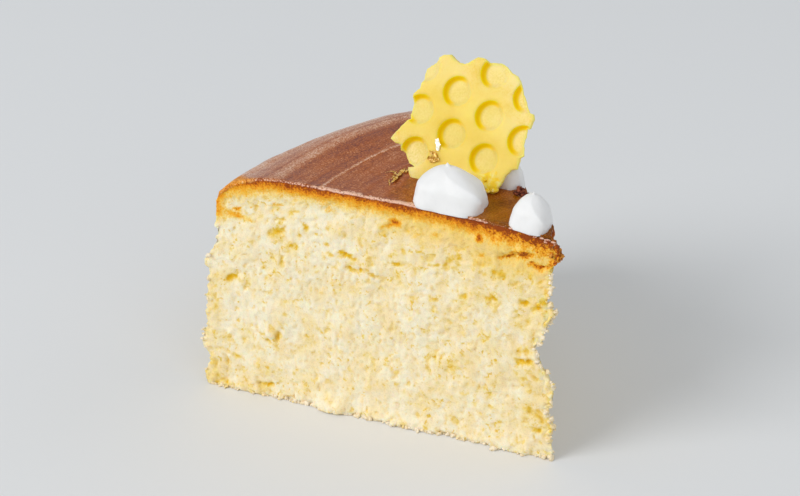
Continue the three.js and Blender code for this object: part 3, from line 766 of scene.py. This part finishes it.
def glazeFinish():
    finish = Finish("glaze", {
        "IOR": 1.26, "Coat Weight": 0.15, "Coat Roughness": 0.15,
        "Subsurface Weight": 0.1, "Subsurface Radius": (1, 0.4, 0.2), "Subsurface Scale": 0.8 * mm,
    })
    radius, pale, inside = finish.value("radius"), finish.value("pale"), finish.value("inside")
    arc = finish.value("arc")
    # noise that is drawn out along the rings
    turned = finish.add("ShaderNodeCombineXYZ", None, {"X": radius * mm, "Y": arc * (0.09 * mm)})
    wide = finish.noise(7, 2, 0.5, turned)
    bands = finish.noise(1.9, 2, 0.5, turned)
    speck = finish.noise(0.45, 2, 0.7)
    dots = finish.step(finish.noise(0.8, 2, 0.6), 0.56, 0.68)
    blotch = finish.noise(5, 3, 0.55)
    mixed = speck * 0.6 + blotch * 0.4

    # painted light: the pale rings carry painted highlight and shade
    # painted reflection: the glaze is painted paler beyond radius 76, the sheen of the pale room on the back
    # of the rim
    tone = (0.48 + (wide - 0.5) * 1.1 + (bands - 0.5) * 0.5 + (speck - 0.5) * 2.0 + (blotch - 0.5) * 0.4
            - dots * 0.26 + pale * 0.42 + finish.step(radius + (wide - 0.5) * 3, 76, 78) * 0.18
            + finish.step(radius, 80, 90) * 0.26)
    brown = finish.ramp(tone, (0.1, 114, 42, 4), (0.4, 160, 78, 14), (0.6, 184, 104, 38),
                        (0.85, 210, 150, 106), (1.05, 234, 196, 170))
    warm = finish.step(finish.noise(3, 3, 0.55) * 0.5 + bands * 0.5, 0.46, 0.6)
    brown = finish.blend(warm * 0.4, brown, tint(168, 82, 14))
    brown = finish.blend(finish.step(warm, 0.5, 0.0) * 0.1, brown, tint(166, 104, 84))
    brown = finish.blend(finish.step(radius, 70, 50) * 0.25, brown, tint(160, 80, 6))
    # painted shade and reflection: towards the tip, where the kisses and the disc stand, the glaze turns a
    # darker olive gold, the kisses' shade and the yellow disc's reflection painted in
    golden = finish.ramp(mixed, (0.32, 96, 44, 0), (0.68, 186, 112, 0))
    colour = finish.blend(finish.step(radius + (blotch - 0.5) * 14, 38, 22) * 0.85, brown, golden)

    # the bare browned skin of the cake shows where the glaze runs out over the rim
    rim = finish.ramp(mixed, (0.36, 172, 86, 22), (0.5, 230, 148, 50), (0.64, 252, 200, 110))
    start = finish.add("ShaderNodeMath", {"operation": "MINIMUM"}, {0: 84 + inside * 0.9, 1: 92})
    bare = finish.step(radius - start + (blotch - 0.5) * 8 + (speck - 0.5) * 5, -1.5, 1.5)
    colour = finish.blend(bare, colour, rim)

    # pale glints along the cut, and a mottled lip
    atEdge = finish.step(inside + (finish.noise(2.6, 3, 0.6) - 0.5) * 5, 2.2, 0.3)
    glint = finish.step(atEdge * 0.75 + (speck - 0.5) * 1.5 + (blotch - 0.5) * 0.5
                        - finish.step(radius, 58, 84) * 0.42 - finish.step(radius, 34, 10) * 0.4
                        - finish.step(arc, -6, 6) * 0.8, 0.45, 0.66)
    colour = finish.blend(glint * 0.9, colour, tint(240, 194, 166))
    mottled = finish.ramp(speck, (0.38, 122, 52, 24), (0.5, 188, 108, 70), (0.62, 232, 176, 146))
    lip = finish.step(finish.value("lip") + (speck - 0.5) * 0.5, 0.25, 0.6) * finish.step(radius, 80, 70)
    colour = finish.blend(lip, colour, mottled)
    ripple = finish.bump(bands, 0.2, 0.5)
    speckShadeAndBump = finish.bump(speck, 0.12, 0.6, ripple)
    coat = (1 - bare) * finish.step(radius, 24, 52) * 0.36
    rough = 0.34 + (blotch - 0.5) * 0.16 + bare * 0.3
    return finish.wear(baseColor=colour, roughness=rough, normal=speckShadeAndBump, coat=coat)


disc = {
    "thickness": 2.8,
    "lean": 28.6,                # degrees back from upright
    "turn": -66,
    "foot": (2.9, -22.1, 64.55),
    "pitch": 10.9,
    "cellTurn": -25.6,
    "origin": (-14.75, 23.1),
    "mouth": 4.12,               # radius of a dimple
    "depth": 2.2,
    "noFloor": [(0, -1), (2, 1), (0, 2)],     # by column and row, places without a dimple
    "rings": (3.95, 3.75, 3.5, 3.2, 2.9, 2.6, 2.2),     # of mesh points inside a dimple's mouth
    "spacing": 0.62,                                    # of the points between the dimples
    "across": (-31, 8),          # the outline lies within these
    "up": (-2, 34),
    # lee: the side away from the light; the dimple walls on that side are also painted as shade
    "lee": (-0.93, 0.37),        # each dimple is deepest towards this side
    "slope": 1.75,
    "shallow": 0.3,
    "crushed": (-1.6, 1.6),      # bruised foot corner
    "outline": [
        (-30.6, 8.4), (-28.7, 7.6), (-27.1, 7.4), (-26.9, 6.0), (-26.0, 5.5), (-25.3, 4.2), (-24.2, 3.0),
        (-22.3, 2.6), (-23.9, 2.0), (-23.2, 0.2), (-22.2, -1.1), (-21.2, -1.3), (-19.6, -0.7),
        (-14, -0.9), (-6, -0.7), (-3.1, -0.1), (-1.2, -0.4), (0, -0.6), (0.7, 0.8), (1.5, 2.0), (2.2, 4.3),
        (3.4, 6.2), (4.9, 6.7), (5.1, 9.6), (5.9, 10.2), (5.3, 12.9), (5.4, 14.9), (5.3, 17.0), (6.1, 17.3),
        (6.6, 19.6), (6.2, 20.9), (5.0, 21.0), (4.0, 22.8), (2.8, 24.9), (1.6, 27.5), (1.0, 28.6),
        (0, 29.4), (-1.8, 30.3), (-3.4, 31.5), (-5.2, 32.1), (-8.3, 31.8), (-9.6, 32.6), (-11.3, 32.6),
        (-12.5, 31.8), (-13.4, 30.9), (-14.6, 30.3), (-16.2, 30.4), (-17.6, 31.3), (-18.8, 32.2),
        (-20.6, 31.8), (-21.6, 31.0), (-21.8, 30.2), (-23.2, 29.2), (-24.8, 27.6), (-25.2, 26.3),
        (-24.9, 24.6), (-25.3, 22.2), (-26.6, 20.8), (-26.8, 19.6), (-26.6, 17.4), (-26.8, 15.4),
        (-26.3, 14.4), (-28.7, 11.2), (-30.4, 9.3)],
}


def discCells():
    turn = math.radians(disc["cellTurn"])
    right, down = (np.array([math.cos(a), math.sin(a)]) for a in (turn, turn - math.pi / 3))
    places = [place for place in product(range(-2, 4), range(-2, 5)) if place not in disc["noFloor"]]
    origin = np.array(disc["origin"])
    return np.array([origin + disc["pitch"] * (column * right + row * down) for column, row in places])


def discPlace(u, v, w):
    # from the disc's own plane to the part's axes
    turn, lean = math.radians(disc["turn"]), math.radians(disc["lean"])
    along = np.array([math.cos(turn), math.sin(turn), 0])
    outOf = np.array([math.sin(turn) * math.cos(lean), -math.cos(turn) * math.cos(lean), math.sin(lean)])
    upFace = np.cross(outOf, along)
    return np.array(disc["foot"]) + np.outer(u, along) + np.outer(v, upFace) + np.outer(w, outOf)


def insideLine(x, y, line):
    inside = np.zeros(len(x), bool)
    for (ax, ay), (bx, by) in zip(line, line[1:] + line[:1]):
        crosses = (ay > y) != (by > y)
        at = ax + (y - ay) * (bx - ax) / (by - ay + 1e-12)
        inside ^= crosses & (x < at)
    return inside


def outwards(line):
    # unit steps away from a closed outline
    run = np.roll(line, -1, 0) - np.roll(line, 1, 0)
    run /= np.linalg.norm(run, axis=1, keepdims=True)
    return np.stack([run[:, 1], -run[:, 0]], 1)


def roughLine(corners, step, amount, seed):
    # a closed outline cut finer, with small teeth
    line = []
    for (ax, ay), (bx, by) in zip(corners, corners[1:] + corners[:1]):
        count = max(1, round(math.hypot(bx - ax, by - ay) / step))
        line += [(mix(ax, bx, i / count), mix(ay, by, i / count)) for i in range(count)]
    line = np.array(line)
    teeth = lump(plan(*line.T), 1.3, seed) + 0.6 * lump(plan(*line.T), 0.5, seed + 1)
    return line + outwards(line) * (amount * teeth)[:, None]


def toCells(uv, cells):
    # from each point to the middle of every dimple
    return np.hypot(*(uv[:, None] - cells).T)


def discMesh(edge, cells):
    # points and triangles of the disc's face: finer around the dimples, plain between them
    mouth, step = disc["mouth"], disc["spacing"]
    extra = []
    for (cx, cy), radius in product(cells, (mouth + 0.25, mouth - 0.05, *disc["rings"])):
        count = int(radius * 13)
        turns = np.arange(count) * 2 * math.pi / count
        extra.append(np.stack([cx + radius * np.cos(turns), cy + radius * np.sin(turns)], 1))
    xs, ys = np.meshgrid(np.arange(*disc["across"], step), np.arange(*disc["up"], step * 0.87))
    xs = xs + (np.arange(len(xs)) % 2)[:, None] * step / 2
    plain = np.stack([xs.ravel(), ys.ravel()], 1)
    away = toCells(plain, cells).min(0)
    extra = np.concatenate([*extra, plain[(away > mouth + 0.5) | (away < 1.8)]])
    line = [tuple(point) for point in edge]
    clear = toLine(*extra.T, line + line[:1]) > 0.3
    extra = extra[clear & insideLine(*extra.T, line)]
    inner = edge - outwards(edge) * 0.16
    flat = [Vector(point) for point in np.concatenate([edge, inner, extra])]
    loops = [(i, (i + 1) % len(edge)) for i in range(len(edge))]
    points, _, faces, given, *_ = delaunay_2d_cdt(flat, loops, [], 1, 1e-5)
    number = {source: i for i, sources in enumerate(given) for source in sources}
    ring = np.array([number[i] for i in range(len(edge))])
    return np.array([tuple(point) for point in points]), np.array(faces), ring


def buildDisc():
    edge = roughLine(disc["outline"], step=0.4, amount=0.16, seed=81)
    cells, mouth = discCells(), disc["mouth"]
    uv, faces, ring = discMesh(edge, cells)
    u, v = uv.T
    away = toCells(uv, cells)
    rho = away.min(0)
    spoke = uv - cells[away.argmin(0)]
    lee = spoke @ np.array(disc["lee"]) / (np.linalg.norm(spoke, axis=1) + 0.5)
    sunk = np.clip((mouth - rho) / disc["slope"], 0, 1)
    depth = disc["depth"] * mix(disc["shallow"], 1, 0.5 + 0.5 * np.clip(lee * rho / mouth, -1, 1))
    sunk = mix(sunk * sunk * (3 - 2 * sunk), 1 - (1 - sunk) ** 2.4, ease(-0.5, 0.3, lee))
    line = [tuple(point) for point in edge]
    toEdge = toLine(u, v, line + line[:1])
    rounding = 0.30 * np.square(np.clip(1 - toEdge / 0.5, 0, 1))
    uneven = 0.05 * lump(plan(u, v), 3.5, 83) + 0.02 * lump(plan(u, v), 1.0, 84)
    front = -depth * sunk - rounding + uneven
    bevel = 1.7 * np.clip(1 - toEdge / 1.6, 0, 1) ** 1.3 * mix(0.25, 1, ease(-14, 0, u))
    back = -disc["thickness"] + 0.05 * lump(plan(u, v), 4, 85) + bevel
    front = np.maximum(front, back + 0.5)

    # front, back, and three chipped rows around the broken edge
    sides = []
    for share in (0.25, 0.5, 0.75):
        w = mix(front[ring], back[ring], share)
        chip = 0.14 * lump(np.column_stack([uv[ring], w]), 1.0, 86) + 0.05
        sides.append(np.column_stack([uv[ring] + outwards(edge) * chip[:, None], w]))
    u, v, w = np.concatenate([np.column_stack([uv, front]), np.column_stack([uv, back]), *sides]).T
    count, size = len(uv), len(ring)
    rings = [ring, *(np.arange(size) + 2 * count + k * size for k in range(len(sides))), ring + count]
    quads = [quad for upper, lower in zip(rings, rings[1:]) for quad in strip(lower, upper)]
    around = size * len(sides)
    values = {
        "sunk": np.concatenate([sunk, np.zeros(count + around)]),
        "rim": np.concatenate([bell(toEdge / 0.6), bell(toEdge / 0.6), np.ones(around)]),
        "lee": np.concatenate([lee, np.zeros(count + around)]),
        "crushed": bell(np.hypot(u - disc["crushed"][0], v - disc["crushed"][1]) / 3.4),
        # painted highlight and glow of light through the thin chocolate, at the lower left corner, the right
        # side and the top
        "frost": (ease(-17, -24, u) * ease(13, 6, v) + 0.8 * ease(-6, 5, u) * ease(8, 20, v)
                  + 0.5 * ease(20, 29, v)),
    }
    return discPlace(u, v, w), [*faces, *(faces[:, ::-1] + count), *quads], values


def discFinish():
    finish = Finish("yellow chocolate", {
        "Subsurface Weight": 0.55, "Subsurface Radius": (1.0, 0.7, 0.12), "Subsurface Scale": 1.6 * mm,
        "Specular IOR Level": 0.12,
    })
    cloud = finish.noise(7, 3, 0.5)
    fine = finish.noise(0.5, 3, 0.6)
    face = finish.ramp(cloud + (fine - 0.5) * 0.2, (0.3, 238, 206, 88), (0.7, 247, 221, 112))
    # painted light: the dimple floors are painted paler, the glow of light through the thin chocolate beneath
    # them; on the lit side this pale colour runs up the wall
    ground = finish.ramp(fine * 0.5 + cloud * 0.5, (0.35, 231, 208, 106), (0.65, 241, 221, 136))
    sunk, lee = finish.value("sunk"), finish.value("lee")
    wall = finish.step(sunk, 0.02, 0.15) - finish.step(sunk, 0.86, 1.0)
    colour = finish.blend(finish.step(sunk + finish.step(lee, 0.1, -0.5) * 0.6, 0.7, 1.0), face, ground)
    # painted highlight and glow: paler chocolate in those places
    frost = finish.value("frost") * finish.step(fine * 0.4 + cloud * 0.6, 0.36, 0.56)
    colour = finish.blend(frost * 0.75, colour, tint(252, 230, 164))
    # painted shade: dimple walls on the side away from the light are painted a darker, saturated yellow
    paintedWallShade = finish.ramp(sunk, (0.05, 252, 226, 4), (0.5, 254, 207, 0), (0.8, 254, 216, 22),
                          (1.0, 248, 222, 110))
    colour = finish.blend(wall * finish.step(lee, -0.3, 0.3), colour, paintedWallShade)
    # painted glow: the broken edge and its sides are painted a pale yellow, as light through the thin
    # chocolate would make them
    broken = finish.step(finish.value("rim") + (fine - 0.5) * 0.4, 0.5, 1.0)
    colour = finish.blend(broken * 0.7, colour, tint(255, 234, 128))
    crushed = finish.step(finish.value("crushed") + (finish.noise(1.2, 3, 0.6) - 0.5) * 0.9, 0.35, 0.6)
    bruise = finish.ramp(finish.noise(2.2, 3, 0.55), (0.36, 246, 198, 6), (0.5, 253, 216, 34),
                         (0.66, 255, 240, 160))
    colour = finish.blend(crushed * 0.85, colour, bruise)
    grain = finish.bump(finish.noise(0.35, 3, 0.6), 0.06, 0.35)
    return finish.wear(baseColor=colour, roughness=0.38 + (fine - 0.5) * 0.2, normal=grain)


kisses = {
    # ridge: where the fold runs at the foot, how far it winds back towards the peak and how late,
    # then height and width
    "meringueLarge": {
        "node": "meringue_large", "seed": 3, "centre": (-8.7, -19.1), "half": (8.9, 6.3), "turn": 115.7,
        "height": 10.9, "squareness": 4.2, "shoulder": 3.4, "taper": 0.7, "peak": (-0.2, 1.1),
        "ridge": (155, 108, 3.4, 0.18, 26),
    },
    "meringueTip": {
        "node": "meringue_tip", "seed": 5, "centre": (-0.3, -39.1), "half": (4.9, 4.95), "turn": 115.7,
        "height": 8.6, "squareness": 3.5, "shoulder": 2.8, "taper": 0.8, "peak": (0.9, 0.1),
        "ridge": (150, 71, 1.8, 0.22, 24),
    },
    "meringueBack": {
        "node": "meringue_back", "seed": 8, "centre": (10.5, -20.2), "half": (4.0, 3.9), "turn": 60,
        "height": 8.6, "squareness": 2.0, "shoulder": 2.4, "taper": 0.7, "peak": (0.2, 0.2),
        "ridge": (40, 30, 3, 0.12, 30),
    },
}
kissSteps = (120, 72)            # round and up


def buildKiss(kiss):
    around, rings = kissSteps
    tall, seed = kiss["height"], kiss["seed"]
    share = 1 - (1 - np.linspace(0, 1, rings + 1)[:-1]) ** 1.2
    rise, side = np.meshgrid(share, np.arange(around) / around * 2 * math.pi, indexing="ij")
    c, s = np.cos(side), np.sin(side)
    foot = mix(0.98, 1, ease(0, 0.1, rise))
    climb = np.clip((rise - 0.12) / 0.8, 0, 1)
    dome = np.sqrt(1 - climb ** kiss["shoulder"]) * mix(1, kiss["taper"], ease(0.4, 1, climb))
    nib = 0.16 * np.clip((1 - rise) / 0.18, 0, 1) ** 0.8
    dome = (dome ** 4 + nib ** 4) ** 0.25
    n = mix(kiss["squareness"], 2.2, rise)
    oval = (np.abs(c) ** n + np.abs(s) ** n) ** (-1 / n)
    at, winds, late, amount, width = kiss["ridge"]
    fold = np.radians(at - winds * rise ** late)
    off = np.abs(np.arctan2(np.sin(side - fold), np.cos(side - fold)))
    swell = 1 + amount * (np.exp(-off / math.radians(width)) - 0.35) * ease(0, 0.4, rise)
    spots = np.stack([c * 6, s * 6, rise * tall], -1)
    swell += 0.035 * lump(spots, 4.5, seed) + 0.012 * lump(spots, 1.4, seed + 1)
    swell += (0.02 + 0.05 * lump(spots, 2.0, seed + 2)) * ease(0.10, 0, rise)
    r = foot * dome * oval * swell

    (cx, cy), (px, py), turn = kiss["centre"], kiss["peak"], math.radians(kiss["turn"])
    a, b = kiss["half"][0] * r * c, kiss["half"][1] * r * s
    x = cx + (a * math.cos(turn) - b * math.sin(turn) + px * rise * rise)
    y = cy + (a * math.sin(turn) + b * math.cos(turn) + py * rise * rise)
    points = np.stack([x, y, glazeTop(x, y) + rise * tall - 0.25], -1).reshape(-1, 3)
    crown = cx + px, cy + py, glazeTop(cx + px, cy + py) + tall - 0.2
    base = cx, cy, glazeTop(cx, cy) - 0.3
    number = np.arange(rings * around).reshape(rings, around)
    crownId, baseId = rings * around, rings * around + 1
    faces = gridFaces(np.concatenate([number, number[:, :1]], 1), True).tolist()
    for i in range(around):
        j = (i + 1) % around
        faces += [(number[-1, i], number[-1, j], crownId), (number[0, j], number[0, i], baseId)]
    return np.concatenate([points, [crown, base]]), faces


def meringueFinish():
    finish = Finish("meringue", {
        "Subsurface Weight": 0.45, "Subsurface Radius": (1, 0.97, 0.95), "Subsurface Scale": 1.6 * mm,
        "Specular IOR Level": 0.35,
    })
    fine = finish.noise(0.5, 3, 0.6)
    soft = finish.noise(4, 2)
    colour = finish.ramp(soft, (0.3, 236, 235, 233), (0.7, 242, 241, 239))
    pores = finish.bump(fine, 0.10, 0.35)
    return finish.wear(baseColor=colour, roughness=0.5 + (fine - 0.5) * 0.2, normal=pores)


def ballShape(level):
    # a small ball of triangles, as unit points and faces
    ball = bmesh.new()
    bmesh.ops.create_icosphere(ball, subdivisions=level, radius=1)
    points = np.array([tuple(corner.co) for corner in ball.verts])
    faces = np.array([[corner.index for corner in face.verts] for face in ball.faces])
    ball.free()
    return points, faces


def addScraps(name, scraps, material, slot, level, rough, values=None):
    # scraps: centre, half sizes, turn about Z in degrees, seed
    ball, ballFaces = ballShape(level)
    points, faces = [], []
    for centre, half, turn, seed in scraps:
        swell = 1 + rough * lump(ball, 0.8, seed) + 0.5 * rough * lump(ball, 0.35, seed + 1)
        x, y, z = (ball * swell[:, None] * half).T
        c, s = math.cos(math.radians(turn)), math.sin(math.radians(turn))
        faces.append(ballFaces + len(points) * len(ball))
        points.append(np.column_stack([x * c - y * s, x * s + y * c, z]) + centre)
    points = np.concatenate(points)
    fields = {key: np.full(len(points), value) for key, value in (values or {}).items()}
    addPiece(name, points, np.concatenate(faces), material, slot, None, fields)


def onNearCut(s, z, out):
    # a point at s from the cake's axis along the near cut, at height z and this far out of it
    x = -math.sin(halfAngle) * s - math.cos(halfAngle) * out
    y = math.cos(halfAngle) * s - math.sin(halfAngle) * out + axisY
    return np.array([x, y, z])


crumbs = {
    # how many, the span of the edge they cling to, how far they stray
    "tip": (110, (0.0, 0.86), 0.3),
    "corner": (14, (0.0, 0.8), 0.2),
    "foot": (230, (0.0, 1.0), 0.35),
    "size": (0.22, 0.7),
}


def scatterCrumbs(points, near):
    # loose crumb along the torn edges of the near cut
    rng = np.random.default_rng(12)
    edges = {"tip": near[0], "corner": near[-1], "foot": near[:, 0]}
    small, large = crumbs["size"]
    scraps = []
    for name, ids in edges.items():
        count, (start, end), stray = crumbs[name]
        for _ in range(count):
            spot = points[ids[int(mix(start, end, rng.random()) * (len(ids) - 1))]]
            half = mix(small, large, rng.random() ** 2) * rng.uniform(0.6, 1.3, 3)
            spot = spot + rng.uniform(-stray, stray, 3)
            spot[2] = max(spot[2], half[2] * 0.7)
            scraps.append((spot, half, rng.uniform(0, 360), int(rng.integers(1000))))
    return scraps


tipScraps = [
    # torn crust at the tip: place on the near cut, half sizes, turn, seed
    (onNearCut(*place), half, turn, seed)
    for place, half, turn, seed in [
        ((1.3, 58.8, -0.7), (0.9, 0.8, 0.8), 10, 1), ((0.9, 57.5, -0.9), (0.9, 0.9, 0.7), 40, 2),
        ((1.5, 56.4, -0.5), (0.8, 0.7, 0.6), 80, 3), ((2.7, 59.7, -0.4), (1.0, 0.7, 0.6), 20, 4),
        ((4.2, 60.4, -0.2), (1.0, 0.5, 0.4), 120, 5), ((2.9, 57.6, -0.1), (0.7, 0.5, 0.6), 60, 8)]
]
flakes = [
    # pale flakes of glaze on the near edge, their pale colour a painted glint: place along and up, half
    # length, seed
    (onNearCut(s, z, 0.15), (long, 0.35, 0.22), 116, seed)
    for s, z, long, seed in [
        (23.6, 63.65, 0.9, 31), (21.6, 63.55, 1.1, 32), (20.0, 63.4, 0.5, 33), (13.5, 63.0, 0.6, 34),
        (9.8, 62.6, 0.9, 35), (8.4, 62.3, 0.6, 36), (7.2, 61.9, 0.5, 37), (5.4, 61.9, 0.7, 38),
        (3.9, 61.7, 0.9, 39), (2.4, 61.4, 0.6, 40), (4.4, 61.0, 0.5, 41), (30.5, 63.8, 0.7, 42),
        (34.2, 63.9, 0.5, 43), (11.3, 57.4, 1.1, 44)]
]
tornTop = [
    # torn glaze and crust on the far edge, behind the disc's foot
    ((8.9, -25.6, 63.7), (1.5, 1.0, 0.8), 60, 11), ((10.4, -24.2, 63.6), (1.3, 0.8, 0.9), 30, 12),
    ((8.0, -27.6, 63.4), (1.2, 0.8, 0.7), 80, 13), ((9.7, -26.4, 63.0), (1.2, 0.9, 0.8), 10, 14),
    ((7.0, -26.2, 64.2), (1.3, 0.6, 0.4), 50, 15), ((11.2, -23.0, 63.9), (0.9, 0.6, 0.8), 50, 16),
    ((9.4, -24.8, 64.4), (0.8, 0.5, 0.5), 20, 17), ((8.2, -28.9, 63.0), (0.9, 0.7, 0.6), 20, 18),
]
chips = [
    # chips of the disc on its own bruised corner, in the disc's plane
    (discPlace(*place)[0], half, turn, seed)
    for place, half, turn, seed in [
        ((-2.8, 2.6, -0.25), (0.9, 0.6, 0.4), 30, 21), ((0.2, 0.5, -0.3), (1.2, 1.0, 0.7), 10, 23),
        ((-4.2, 1.1, -0.2), (0.9, 0.6, 0.4), 140, 24), ((-1.6, 0.0, -0.2), (1.1, 0.8, 0.5), 70, 25)]
]
crusts = {
    # scraps, slot, how fine and how rough, then the finish: its name, dark, middle and pale
    "tipCrust": (
        tipScraps, "sponge", 3, 0.6, "golden crust", (110, 50, 14), (206, 128, 40), (244, 190, 96)),
    "tornTop": (
        tornTop, "glaze", 3, 0.8, "dark crust", (50, 14, 6), (92, 34, 14), (170, 98, 70)),
    "glazeFlakes": (
        flakes, "glaze", 2, 0.6, "glaze flakes", (176, 96, 66), (232, 180, 152), (252, 228, 210)),
    "discChips": (
        chips, "yellow_chocolate", 3, 0.12, "chocolate chips",
        (236, 190, 14), (250, 212, 50), (255, 244, 190)),
}


def crustFinish(name, dark, middle, pale):
    finish = Finish(name, {"Roughness": 0.6, "Specular IOR Level": 0.12})
    fine, soft = finish.noise(0.6, 3, 0.7), finish.noise(1.6, 2)
    colour = finish.ramp(fine * 0.6 + soft * 0.4, (0.38, *dark), (0.5, *middle), (0.64, *pale))
    return finish.wear(baseColor=colour, roughness=0.5 + fine * 0.3, normal=finish.bump(fine, 0.15, 0.7))


def goldFinish():
    finish = Finish("gold leaf", {"Metallic": 0.45, "Roughness": 0.35})
    fine = finish.noise(0.6, 3, 0.7)
    # painted light: the leaf goes from dark brown to pale gold over the same fine noise as its bump, painted
    # shade and highlight of its crinkles
    colour = finish.ramp(fine, (0.34, 146, 92, 8), (0.48, 222, 168, 52), (0.62, 255, 222, 146))
    # painted highlight: strips marked 1 are painted near white, a glint of the light
    colour = finish.blend(finish.value("bright"), colour, tint(255, 253, 232))
    return finish.wear(baseColor=colour, roughness=0.26 + fine * 0.2, normal=finish.bump(fine, 0.15, 0.6))


def ribbon(line, widths, lift, crumple, seed, place):
    # a crumpled scrap of leaf along a broken line, as a thin closed sheet
    along, over, thick = 40, 8, 0.05
    share = np.linspace(0, len(line) - 1, along)
    cx, cy, width = (np.interp(share, range(len(line)), row) for row in (*zip(*line), widths))
    tx, ty = np.gradient(cx), np.gradient(cy)
    spread = np.outer(width / (np.hypot(tx, ty) + 1e-9), np.linspace(-0.5, 0.5, over))
    x, y = cx[:, None] - ty[:, None] * spread, cy[:, None] + tx[:, None] * spread
    flat = plan(x, y)
    z = lift + crumple * (lump(flat, 1.1, seed) + 0.6 * lump(flat, 0.5, seed + 1))
    x += 0.35 * lump(flat, 0.8, seed + 2)
    y += 0.35 * lump(flat, 0.8, seed + 3)
    z = np.maximum(z, 0.06)
    sheets = [place(x.ravel(), y.ravel(), z.ravel() + above) for above in (thick, 0)]
    ids = np.arange(along * over).reshape(along, over)
    ring = border(ids)
    faces = [gridFaces(ids), gridFaces(ids + ids.size, True), strip(ring + ids.size, ring)]
    return np.concatenate(sheets), np.concatenate(faces)


def onGlaze(x, y, z):
    return np.column_stack([x, y, glazeTop(x, y) + z])


leaf = {
    # strips: broken line, widths along it, lift, crumple, seed, and 1 where the strip is painted near white
    # as a highlight
    "leafOnGlaze": (onGlaze, [
        ([(-12.6, -1.1), (-10.6, -0.1), (-8.6, 0.8), (-6.2, 2.2), (-4.4, 2.8)],
         (0.3, 0.9, 1.3, 0.9, 0.4), 0.4, 0.4, 91, 0),
        ([(-9.9, 4.5), (-8.5, 4.3), (-7.9, 3.2), (-8.4, 1.4)], (0.2, 0.35, 0.4, 0.3), 0.35, 0.25, 92, 0),
        ([(-10.9, 0.6), (-9.4, 1.8), (-7.4, 3.0)], (0.2, 0.35, 0.2), 0.35, 0.3, 93, 0),
        ([(-13.8, -1.8), (-12.4, -0.2), (-11.6, 1.2)], (0.15, 0.3, 0.15), 0.3, 0.25, 94, 0),
        ([(-5.8, 1.0), (-4.6, 2.0), (-3.2, 2.2)], (0.3, 0.5, 0.2), 0.3, 0.25, 95, 0)]),
    "leafOnDisc": (discPlace, [
        ([(-19.2, 5.4), (-17.6, 5.0), (-15.9, 5.6)], (1.0, 1.7, 1.0), 0.5, 0.5, 97, 0),
        ([(-18.6, 6.9), (-17.2, 6.6), (-16.4, 5.4)], (0.6, 0.9, 0.5), 0.7, 0.5, 98, 0),
        ([(-17.5, 10.5), (-17.0, 9.1), (-16.7, 7.7)], (0.9, 1.2, 0.5), 0.45, 0.2, 99, 1)]),
}


addCamera()
addStudio()
print("camera, floor and lights")

spongePoints, spongeQuads, spongeValues, spongeGrids, spongeNormals = buildSponge()
crumbly = spongeFinish("sponge", 0.7)
addPiece("cakeSponge", spongePoints, spongeQuads, crumbly, "sponge", "cake_slice", spongeValues)

filmPoints, filmQuads, filmValues = buildFilm(spongePoints, spongeGrids, spongeNormals)
addPiece("topGlaze", filmPoints, filmQuads, glazeFinish(), "glaze", None, filmValues)

discPoints, discFaces, discValues = buildDisc()
addPiece("honeycombDisc", discPoints, discFaces, discFinish(), "yellow_chocolate", "honeycomb_disc",
         discValues, sharp=50)

meringue = meringueFinish()
for name, kiss in kisses.items():
    kissPoints, kissFaces = buildKiss(kiss)
    addPiece(name, kissPoints, kissFaces, meringue, "meringue", kiss["node"])
print("kisses")

loose = scatterCrumbs(spongePoints, spongeGrids["near"])
# loose crumbs get a negative pit, so less painted shade and a paler cream
looseValues = {"pit": -0.06, "brown": 20.0, "cut": 1.0, "radius": 60.0}
addScraps("crumbs", loose, spongeFinish("crumbs", 0.1), "sponge", 2, 0.9, looseValues)
for name, (scraps, slot, level, rough, title, *shades) in crusts.items():
    addScraps(name, scraps, crustFinish(title, *shades), slot, level, rough)
gold = goldFinish()
for name, (place, strips) in leaf.items():
    leafPoints, leafFaces, brightness = [], [], []
    for line, widths, lift, crumple, seed, bright in strips:
        sheet, sheetFaces = ribbon(line, widths, lift, crumple, seed, place)
        leafFaces.append(sheetFaces + len(leafPoints) * len(sheet))
        leafPoints.append(sheet)
        brightness += [bright] * len(sheet)
    leafPoints, leafFaces = np.concatenate(leafPoints), np.concatenate(leafFaces)
    addPiece(name, leafPoints, leafFaces, gold, "gold_leaf", None, {"bright": brightness})
print("crumbs and leaf")
